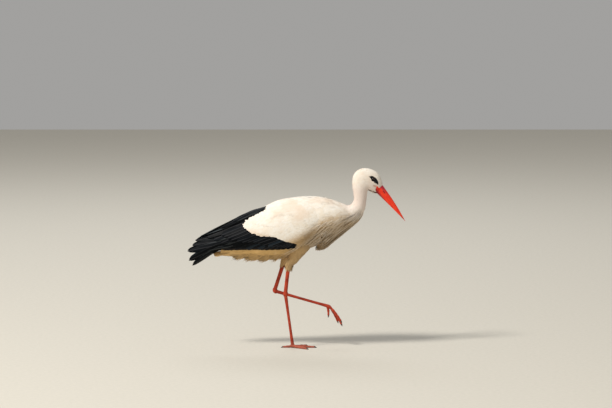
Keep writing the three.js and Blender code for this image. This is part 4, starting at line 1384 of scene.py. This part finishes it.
for side in LEGS:
    form = thigh_form(side)
    t, a = scatter(form, 0.02, 0.80, 0, 1, thigh_spacing)
    points, normal, along, _ = form.look(t, a)
    length = chance.uniform(22, 34, len(t)) * np.interp(t, (0, 0.6, 0.8), (1.1, 0.95, 0.7))
    length = np.minimum(length, room_ahead(along, t))
    width = chance.uniform(6.0, 9.5, len(t)) * np.interp(t, (0, 0.8), (1.2, 0.7))
    depth = np.interp(t, (0, 0.5, 0.8), (8, 5, 4))
    lift, yaw = chance.normal(0, 0.5, len(t)), chance.normal(0, 0.14, len(t))
    spine, ups = lay(form, t, a, length, depth, lift, 0.25, yaw, 5)
    ahead = smooth_step(normal[:, 0], -0.2, 0.7) * smooth_step(t, 0.1, 0.6) * chance.uniform(0.4, 1, len(t))
    spine[:, :, 0] += (THIGH_SKIRT * MM * ahead)[:, None] * np.linspace(0, 1, 6)
    root_uv = np.stack((a % 1, t), axis=1)
    batch = tufts(spine, ups, width, THIGH_TUFT, 0.8, root_uv, markings(points), 0.3, 0.45)
    Coat(f"coat_thigh_{side}", "plumage_cream").add(batch).build(white_plumage)

# %% [markdown]
# ## Wings
# A folded wing is a cloak of layers. Each side has a form from the ridge of the back to the lower
# edge. Small white coverts cover its front. Behind them lie the black greater coverts, then the
# secondaries with their tips along the lower edge, the broad tertials along the ridge and last the
# fan of primaries. Large feathers have a raised shaft and two vanes.
# %% Large feathers
QUILL_SECTION = ((-1, 0.05), (-0.66, 0.55), (-0.3, 0.8), (-0.05, 1.0), (0, 1.9), (0.05, 1.0), (0.3, 0.8),
                 (0.66, 0.55), (1, 0.05), (0.6, -0.5), (0, -1.2), (-0.6, -0.5))
QUILL_STATIONS = 26
quill_share = np.linspace(0, 1, QUILL_STATIONS)


def quill_outline(point):
    """A feather's outline: narrow at the quill, broad, and rounded or pointed at the tip."""
    start = 0.30 + 0.70 * np.sin(np.clip(quill_share / 0.35, 0, 1) * math.pi / 2)
    end = np.clip((quill_share - (1 - point)) / point, 0, 1)
    return start * np.sqrt(np.clip(1 - end**2.4, 0.0016, 1))


def cloak_place(x, z):
    """The t and a of the cloak's forms at a place seen from the side, in millimetres."""
    ridge, wide, edge, _, exponent = cloak_at(x)
    rise = np.where(z > wide, (z - wide) / (ridge - wide), (z - wide) / ((wide - edge) * UNDERCUT))
    rise = np.clip(rise, -1 / UNDERCUT, 1)
    turn = np.arccos(np.sign(rise) * np.abs(rise) ** (exponent / 2))
    return (CLOAK_FRONT - x) / (CLOAK_FRONT - CLOAK_REAR), turn / last_turn(exponent)


QUILL_THICKNESS, QUILL_CAMBER = 0.9, 0.12


def quills(form, roots, tips, width, lifts, point, bow=0.0):
    """Large feathers on a cloak, from roots to tips seen from the side. lifts are at the root and the tip."""
    t1, a1 = cloak_place(*np.array(roots, float).T)
    t2, a2 = cloak_place(*np.array(tips, float).T)
    share = quill_share[None]
    t = t1[:, None] + (t2 - t1)[:, None] * share
    a = a1[:, None] + (a2 - a1)[:, None] * share + np.reshape(bow, (-1, 1)) * np.sin(share * math.pi)
    points, normal, _, _ = form.look(t.ravel(), a.ravel())
    shape = (*t.shape, 3)
    points, normal = points.reshape(shape), normal.reshape(shape)
    low, high = (np.broadcast_to(np.asarray(v, float), len(t1))[:, None] for v in lifts)
    spine = points + normal * ((low + (high - low) * share**0.7) * MM)[..., None]
    marks = np.zeros((len(t1), 4))
    marks[:, 3] = chance.random(len(t1))
    root_uv = np.stack((t1, a1), axis=1)
    width = np.broadcast_to(np.asarray(width, float), len(t1)) * MM
    outline, thickness = quill_outline(point), QUILL_THICKNESS * MM
    return blades(spine, normal, width, outline, thickness, QUILL_SECTION, root_uv, marks, QUILL_CAMBER)


# %% The edge between white and black
COVERT_EDGE = ((14, 426), (-4, 434), (-36, 441), (-80, 460), (-130, 464), (-178, 480), (-204, 499),
               (-190, 521), (-148, 542), (-114, 560), (-106, 582))
WHITE_SIDE = ((-60, 700), (300, 700), (300, 300), (14, 300))  # a frame far outside, to close the line


def inside_white(x, z):
    """Whether a place on the wing, seen from the side, is among the white coverts."""
    polygon = np.vstack((COVERT_EDGE, WHITE_SIDE)).astype(float)
    hit = np.zeros(len(x), bool)
    for (x1, z1), (x2, z2) in zip(polygon, np.roll(polygon, -1, axis=0)):
        crosses = (z1 > z) != (z2 > z)
        at = x1 + (z - z1) / np.where(z2 == z1, 1e-9, z2 - z1) * (x2 - x1)
        hit ^= crosses & (x < at)
    return hit


# %% Coverts
FOLDS = (  # where one group of white feathers ends on the next: x, z and half the width of the shade
    ((-134, 520, 1), (-92, 512, 3), (-50, 508, 1)),
    ((-72, 541, 1), (-34, 551, 3), (22, 550, 1)),
    ((96, 478, 1), (108, 492, 4), (118, 508, 1)),
)
COVERT_SLOPE = 0.26  # how steeply they point down
COVERT_REACH = 0.95
COVERT_TUFT = np.array((0.55, 0.9, 1.0, 0.97, 0.75, 0.14))
COVERT_SPACING = ((0, 0.15, 0.6), (4.6, 5.6, 6.6))  # t, and millimetres


def covert_spacing(t):
    return np.interp(t, *COVERT_SPACING) * np.ones(2) * MM


def covert_tip(x, z, length):
    return x - length * COVERT_REACH, z - length * COVERT_SLOPE


def covert_coat(side_name):
    """Small white feathers over the front of a wing. None reaches past the edge of the white."""
    form = cloaks[side_name]
    t, a = scatter(form, 0.035, 0.62, 0.0, 1.0, covert_spacing)
    points, _, _, _ = form.look(t, a)
    x, _, z = (points / MM).T
    behind = behind_shoulder(x, z)
    front = np.clip(behind / 45, 0, 1)
    length = np.interp(x, (-200, -60, 60, 130), (36, 30, 24, 20)) * chance.uniform(0.85, 1.15, len(t))
    for _ in range(6):
        tip_x, tip_z = covert_tip(x, z, length)
        length = np.where(inside_white(tip_x - 2, tip_z - 1), length, length * 0.8)
    inside = inside_white(x, z) & inside_white(*covert_tip(x, z, length))
    kept = inside & (z > cloak_at(x)[2] + 1) & (behind > -6)
    t, a, points, length, front, x = (v[kept] for v in (t, a, points, length, front, x))
    width = np.interp(x, (-200, 130), (15, 8.5)) * chance.uniform(0.85, 1.15, len(t))
    width = np.minimum(width, 2 + length * 0.5)
    fold = smooth_step(np.min([line_gap(points, line) for line in FOLDS], axis=0), 7, 0)
    lift = -8.0 * (1 - front) ** 1.5 + chance.normal(0, 0.15, len(t)) - 0.7 * fold
    yaw = chance.normal(0, 0.05, len(t))
    spine, ups = lay(form, t, a, length, 7, lift, COVERT_SLOPE, yaw, 5)
    root_uv = np.stack((t / 0.7, a), axis=1)
    marks = markings(points)
    # Painted shade along the folds where one group of coverts ends on the next.
    marks[:, 2] = 0.22 * fold * chance.uniform(0.3, 1, len(t))
    batch = tufts(spine, ups, width, COVERT_TUFT, 0.4, root_uv, marks, 0.10, 0.55)
    coat = Coat(f"wing_coverts_{side_name}", "plumage_white", f"wing_{side_name}_coverts")
    coat.add(batch).build(white_plumage)


# %% Flight feathers
TERTIALS = (  # root x and z, tip x and z, width, lift
    ((-104, 503), (-262, 418), 40, -4.2),
    ((-114, 517), (-288, 428), 40, -3.6),
    ((-118, 527), (-318, 440), 40, -3.0),
    ((-116, 538), (-346, 449), 40, -2.4),
    ((-113, 547), (-372, 454), 38, -1.8),
    ((-110, 556), (-330, 468), 38, -1.2),
    ((-107, 562), (-285, 489), 36, -0.6),
    ((-104, 568), (-240, 512), 36, 0.0),
    ((-101, 573), (-196, 534), 34, 0.6),
)
PRIMARY_ROOTS = ((-205, 462), (-200, 454), (-196, 446), (-190, 438), (-186, 430), (-180, 422))
PRIMARY_TIPS = ((-384, 452), (-391, 437), (-402, 417), (-421, 394), (-415, 356), (-401, 331))
SECONDARY_COUNT, GREATER_COVERT_COUNT = 15, 16
LAST_ROOTS = {"secondaries": 10, "greater coverts": 12}  # no root lies further forward than this x


def roots_of(ends, out, up, last_root):
    """Roots ahead of and above other points along a row, each kept behind last_root."""
    roots = ends + np.stack((out, up), axis=1)
    roots[:, 0] = np.minimum(roots[:, 0], last_root)
    return roots


def primaries(form):
    lifts = np.linspace(-9.5, -6.5, len(PRIMARY_ROOTS)), np.linspace(-5, -1, len(PRIMARY_ROOTS))
    return quills(form, PRIMARY_ROOTS, PRIMARY_TIPS, 33, lifts, point=0.5, bow=0.02)


def secondaries(form):
    share = np.linspace(0, 1, SECONDARY_COUNT)
    tips = np.stack((-322 + 318 * share, np.interp(share, (0, 0.2, 1), (378, 397, 408))), axis=1)
    out, up, width = (np.interp(share, (0, 1), ends) for ends in ((150, 70), (56, 34), (31, 25)))
    roots = roots_of(tips, out, up, LAST_ROOTS["secondaries"])
    return quills(form, roots, tips, width, (-7.0, np.linspace(-3.2, -2.4, SECONDARY_COUNT)), point=0.3)


def greater_coverts(form):
    share = np.linspace(0, 1, GREATER_COVERT_COUNT)
    edge = through(COVERT_EDGE[:7], share * 5.9)
    reach = np.interp(share, (0, 0.3, 1), (38, 62, 84))
    tips = edge - np.stack((reach, reach * np.interp(share, (0, 1), (0.34, 0.46))), axis=1)
    tips[:, 1] = np.maximum(tips[:, 1], cloak_at(tips[:, 0])[2] + 6)
    roots = roots_of(edge, np.full(len(edge), 22), np.full(len(edge), 9), LAST_ROOTS["greater coverts"])
    return quills(form, roots, tips, 23, (-5.0, -0.6), point=0.4)


def tertials(form):
    roots, tips, widths, lifts = zip(*TERTIALS)
    lifts = np.array(lifts)
    return quills(form, roots, tips, widths, (lifts - 2.5, lifts), point=0.32, bow=-0.015)


def flight_coat(side_name):
    nodes = [f"wing_{side_name}_{group}" for group in ("scapulars", "secondaries", "primaries")]
    coat = Coat(f"wing_flight_{side_name}", "flight_feathers", *nodes)
    for group in (primaries, secondaries, greater_coverts, tertials):
        coat.add(group(cloaks[side_name]))
    coat.build(black_plumage)


# %% The bed under a wing's feathers
def wing_bed_depth(t, x, z):
    """Deeper behind the shoulder's edge, and under the plumes of the flank."""
    flank = smooth_step(x, 40, 75) * smooth_step(z, 460, 430)
    return 8.5 + 11 * smooth_step(behind_shoulder(x, z), 50, 0) + 14 * flank


def paint_wing_bed(tree):
    tan, blush, dark, _ = channels(tree, "marks")
    colour = white_colour(tree, tan, blush, noise(tree, place(tree), 60.0))
    return {"Base Color": dark.blend(colour, (0.012, 0.014, 0.018)), "Roughness": 0.85}


def wing_bed(side_name):
    """A thin shell that closes the wing under its feathers, from the shoulder to the primaries."""
    t, a = np.linspace(0.075, 0.763, 104), np.linspace(0.015, 1, 44)
    name, form = f"wing_bed_{side_name}", cloaks[side_name]
    bed, points, marks = shell(name, form, t, a, wing_bed_depth, 2.5, seed=0.5)
    x, _, z = (points / MM).T
    marks[:, 2] = ~inside_white(x, z)
    give(bed.data, "marks", marks)
    settle(bed, surface(f"bed_{side_name}", paint_wing_bed), "plumage_white", smooth=False)


for side_name in SIDES:
    wing_bed(side_name)
    covert_coat(side_name)
    flight_coat(side_name)

# %% Tail
TAIL_PAIRS = 6
TAIL_WIDTH = 30


def tail_feathers():
    """White tail feathers, stacked like a closed fan."""
    rank = np.repeat(np.arange(TAIL_PAIRS), 2)
    out = np.tile(list(SIDES.values()), TAIL_PAIRS) * (rank + 0.5) / TAIL_PAIRS
    count = len(out)
    root = np.stack((np.full(count, -236), out * 14, 402 - 3 * np.abs(out)), axis=1)
    tip = np.stack((-322 + 9 * np.abs(out), out * 23, 384 - 7 * out**2 - rank * 0.7), axis=1)
    share = quill_share[None, :, None]
    spine = (root[:, None] * (1 - share) + tip[:, None] * share) * MM
    up = unit(np.stack((np.zeros(count), out * 0.45, np.ones(count)), axis=1))[:, None] + np.zeros_like(spine)
    root_uv = np.stack((out / 2 + 0.5, np.full(count, 0.5)), axis=1)
    width, thickness, outline = np.full(count, TAIL_WIDTH * MM), QUILL_THICKNESS * MM, quill_outline(0.25)
    return blades(spine, up, width, outline, thickness, QUILL_SECTION, root_uv, markings(root * MM), 0.1)


Coat("tail_feathers", "plumage_white", "tail").add(tail_feathers()).build(white_plumage)
print("coat triangles", sum(Coat.made))

# %% [markdown]
# ## Bill, eyes and claws
# The bill is two horn sheaths that meet at the cutting edges. Each is a tube whose rings run round
# its arched outside and back along the flat inside. Two slits near the root of the upper one are the
# nostrils. The eye is a dark ball with a slightly raised front, and the claws are short and blunt.
# %% Bill
SEAM = (-1.5, 0.0105)  # how far the cutting edge lies below the axis, and how much more for each mm
BILL_EXPONENT = 2.15
BILL_RINGS, BILL_OUTSIDE, BILL_INSIDE = 150, 46, 8  # rings along it, and points round each side of a ring
NOSTRIL = (21, 7.2, 7.5, 1.4)  # along and above the axis, half its length and half its height; millimetres


def bill_half(upper):
    """Rings of one half of the bill: round the outside, and back along the inside."""
    s = BILL["back"] + (BILL["length"] - BILL["back"]) * np.linspace(0, 1, BILL_RINGS) ** 0.96
    t = s / BILL["length"]
    shrink = np.clip(1 - t, 0, None)
    height = BILL["depth"] / 2 * np.maximum(0.045, shrink**0.9 * (1 + 0.12 * t))
    width = BILL["width"] / 2 * np.maximum(0.06, shrink**0.85)
    bulge = 2.2 * np.sin(t * math.pi)
    seam = np.clip(SEAM[0] - SEAM[1] * s - bulge, -0.8 * height, 0.8 * height)
    side = 1 if upper else -1
    low = np.arcsin(np.abs(seam / height) ** (BILL_EXPONENT / 2)) * np.sign(seam) * side
    turn = low[:, None] + (math.pi - 2 * low[:, None]) * np.linspace(0, 1, BILL_OUTSIDE)[None]
    y = width[:, None] * squared(np.cos(turn), BILL_EXPONENT)
    v = side * height[:, None] * squared(np.sin(turn), BILL_EXPONENT)
    if upper:
        ridge = np.exp(-((y / 2.4) ** 2)) * 0.5 * shrink[:, None]
        slit = ((s[:, None] - NOSTRIL[0]) / NOSTRIL[2]) ** 2 + ((v - NOSTRIL[1]) / NOSTRIL[3]) ** 2
        groove = np.exp(-(((v - 0.40 * height[:, None]) / 1.6) ** 2)) * smooth_step(s, 75, 25)[:, None]
        y = y - np.sign(y) * (1.5 * np.clip(1 - slit, 0, 1) ** 0.5 + 0.3 * groove)
        v = v + ridge
    rim = np.linspace(-1, 1, BILL_INSIDE + 2)[1:-1][None]
    inner_y = rim * np.abs(y[:, :1]) * 0.97
    inner_v = seam[:, None] + side * (0.22 + 0.08 * height[:, None] * (1 - rim**2))
    v[:, 0] = v[:, -1] = seam + side * 0.12
    y = np.concatenate((y, inner_y), axis=1)
    v = np.concatenate((v, inner_v), axis=1)
    root_x, root_z = BILL["root"]
    centre = np.array((root_x, 0, root_z)) + bill_along * s[:, None] + bill_up * bulge[:, None]
    grid = centre[:, None] + bill_up * v[..., None]
    grid[..., 1] += y
    return grid * MM


def paint_bill(tree):
    colour, streaks = horn_red(tree)
    return {
        "Base Color": colour,
        "Roughness": streaks * 0.16 + 0.30,
        "Specular IOR Level": 0.3,
        "Coat Weight": 0.05,
        "Coat Roughness": 0.25,
        "Normal": bump(tree, streaks, 0.0004, 0.5),
    }


bill_material = surface("red_horn", paint_bill)
for name, upper in (("bill_upper_sheath", True), ("bill_lower_sheath", False)):
    sheath = closed_mesh(name, bill_half(upper))
    settle(sheath, bill_material, "bill_horn", name.replace("_sheath", ""))
    sheath.data.set_sharp_from_angle(angle=math.radians(50))
print("bill halves 2")

# %% Eyes
CORNEA = 0.5  # how far the front of the ball is raised, in millimetres


def paint_eye(tree):
    spot = place(tree)
    x, z = part_of(tree, spot, "X"), part_of(tree, spot, "Z")
    apart = length_of(x - float(EYE_CENTRE[0]) * MM, z - float(EYE_CENTRE[2]) * MM)
    fibres = noise(tree, spot, 1500.0, 2.0)
    iris = fibres.blend((0.016, 0.008, 0.005), (0.038, 0.019, 0.010))
    colour = apart.band(0.0028, 0.0024).blend(iris, (0.002, 0.002, 0.002))
    colour = apart.band(0.0048, 0.0054).blend(colour, (0.006, 0.005, 0.005))
    return {"Base Color": colour, "Roughness": 0.08, "Specular IOR Level": 0.25, "Coat Weight": 0.3,
            "Coat Roughness": 0.02}


eye_material = surface("wet_eye", paint_eye)
for side_name, side in SIDES.items():
    turn = np.linspace(0, math.pi, 41)[1:-1, None]
    ring = np.arange(56) / 56 * 2 * math.pi
    out = EYE_RADIUS + CORNEA * smooth_step(np.cos(turn), 0.78, 1.0)
    grid = np.stack(np.broadcast_arrays(
        EYE_CENTRE[0] + out * np.sin(turn) * np.cos(ring),
        side * (EYE_CENTRE[1] + out * np.cos(turn)),
        EYE_CENTRE[2] + out * np.sin(turn) * np.sin(ring),
    ), axis=2)
    ball = closed_mesh(f"eye_ball_{side_name}", grid * MM)
    settle(ball, eye_material, "eye", f"eye_{side_name}")
print("eyes 2")

# %% Claws
CLAW_LENGTH = 13
CLAW_RADII = (3.5, 3.2, 2.2, 0.5)
KNUCKLE = {"right": 0.9, "left": 0.0}  # how much the claws on the floor rise before they bend down


def paint_claw(tree):
    grain = noise(tree, place(tree), 300.0)
    return {"Base Color": grain.blend((0.035, 0.020, 0.014), (0.10, 0.06, 0.04)), "Roughness": 0.42}


claw_material = surface("dark_horn", paint_claw)
for (side, name), points in TOES.items():
    points = [np.array(p, float) for p in points]
    line, _ = even_line(points, 1.0)
    ahead = unit(line[-1] - line[-2])
    down = np.array((ahead[2], 0, -ahead[0]))
    down = down * (-1 if down[2] > 0 else 1)
    start = line[-1] - ahead * 1.5
    rise = KNUCKLE[side]
    bend = [start, start + ahead * 5 + (0, 0, rise), start + ahead * 10 - (0, 0, rise * 0.3) + down * 0.6,
            start + ahead * (CLAW_LENGTH + 1) + down * 1.9]
    claw = closed_mesh(f"claw_{name}_{side}", tube(bend, CLAW_RADII, 0.5, 22, 0.82))
    claw_points = read_points(claw.data)
    claw_points[:, 2] = np.maximum(claw_points[:, 2], 0)
    write_points(claw.data, claw_points)
    settle(claw, claw_material, "claw_horn", f"foot_{side}_claw_{name}")
print("claws", len(TOES))
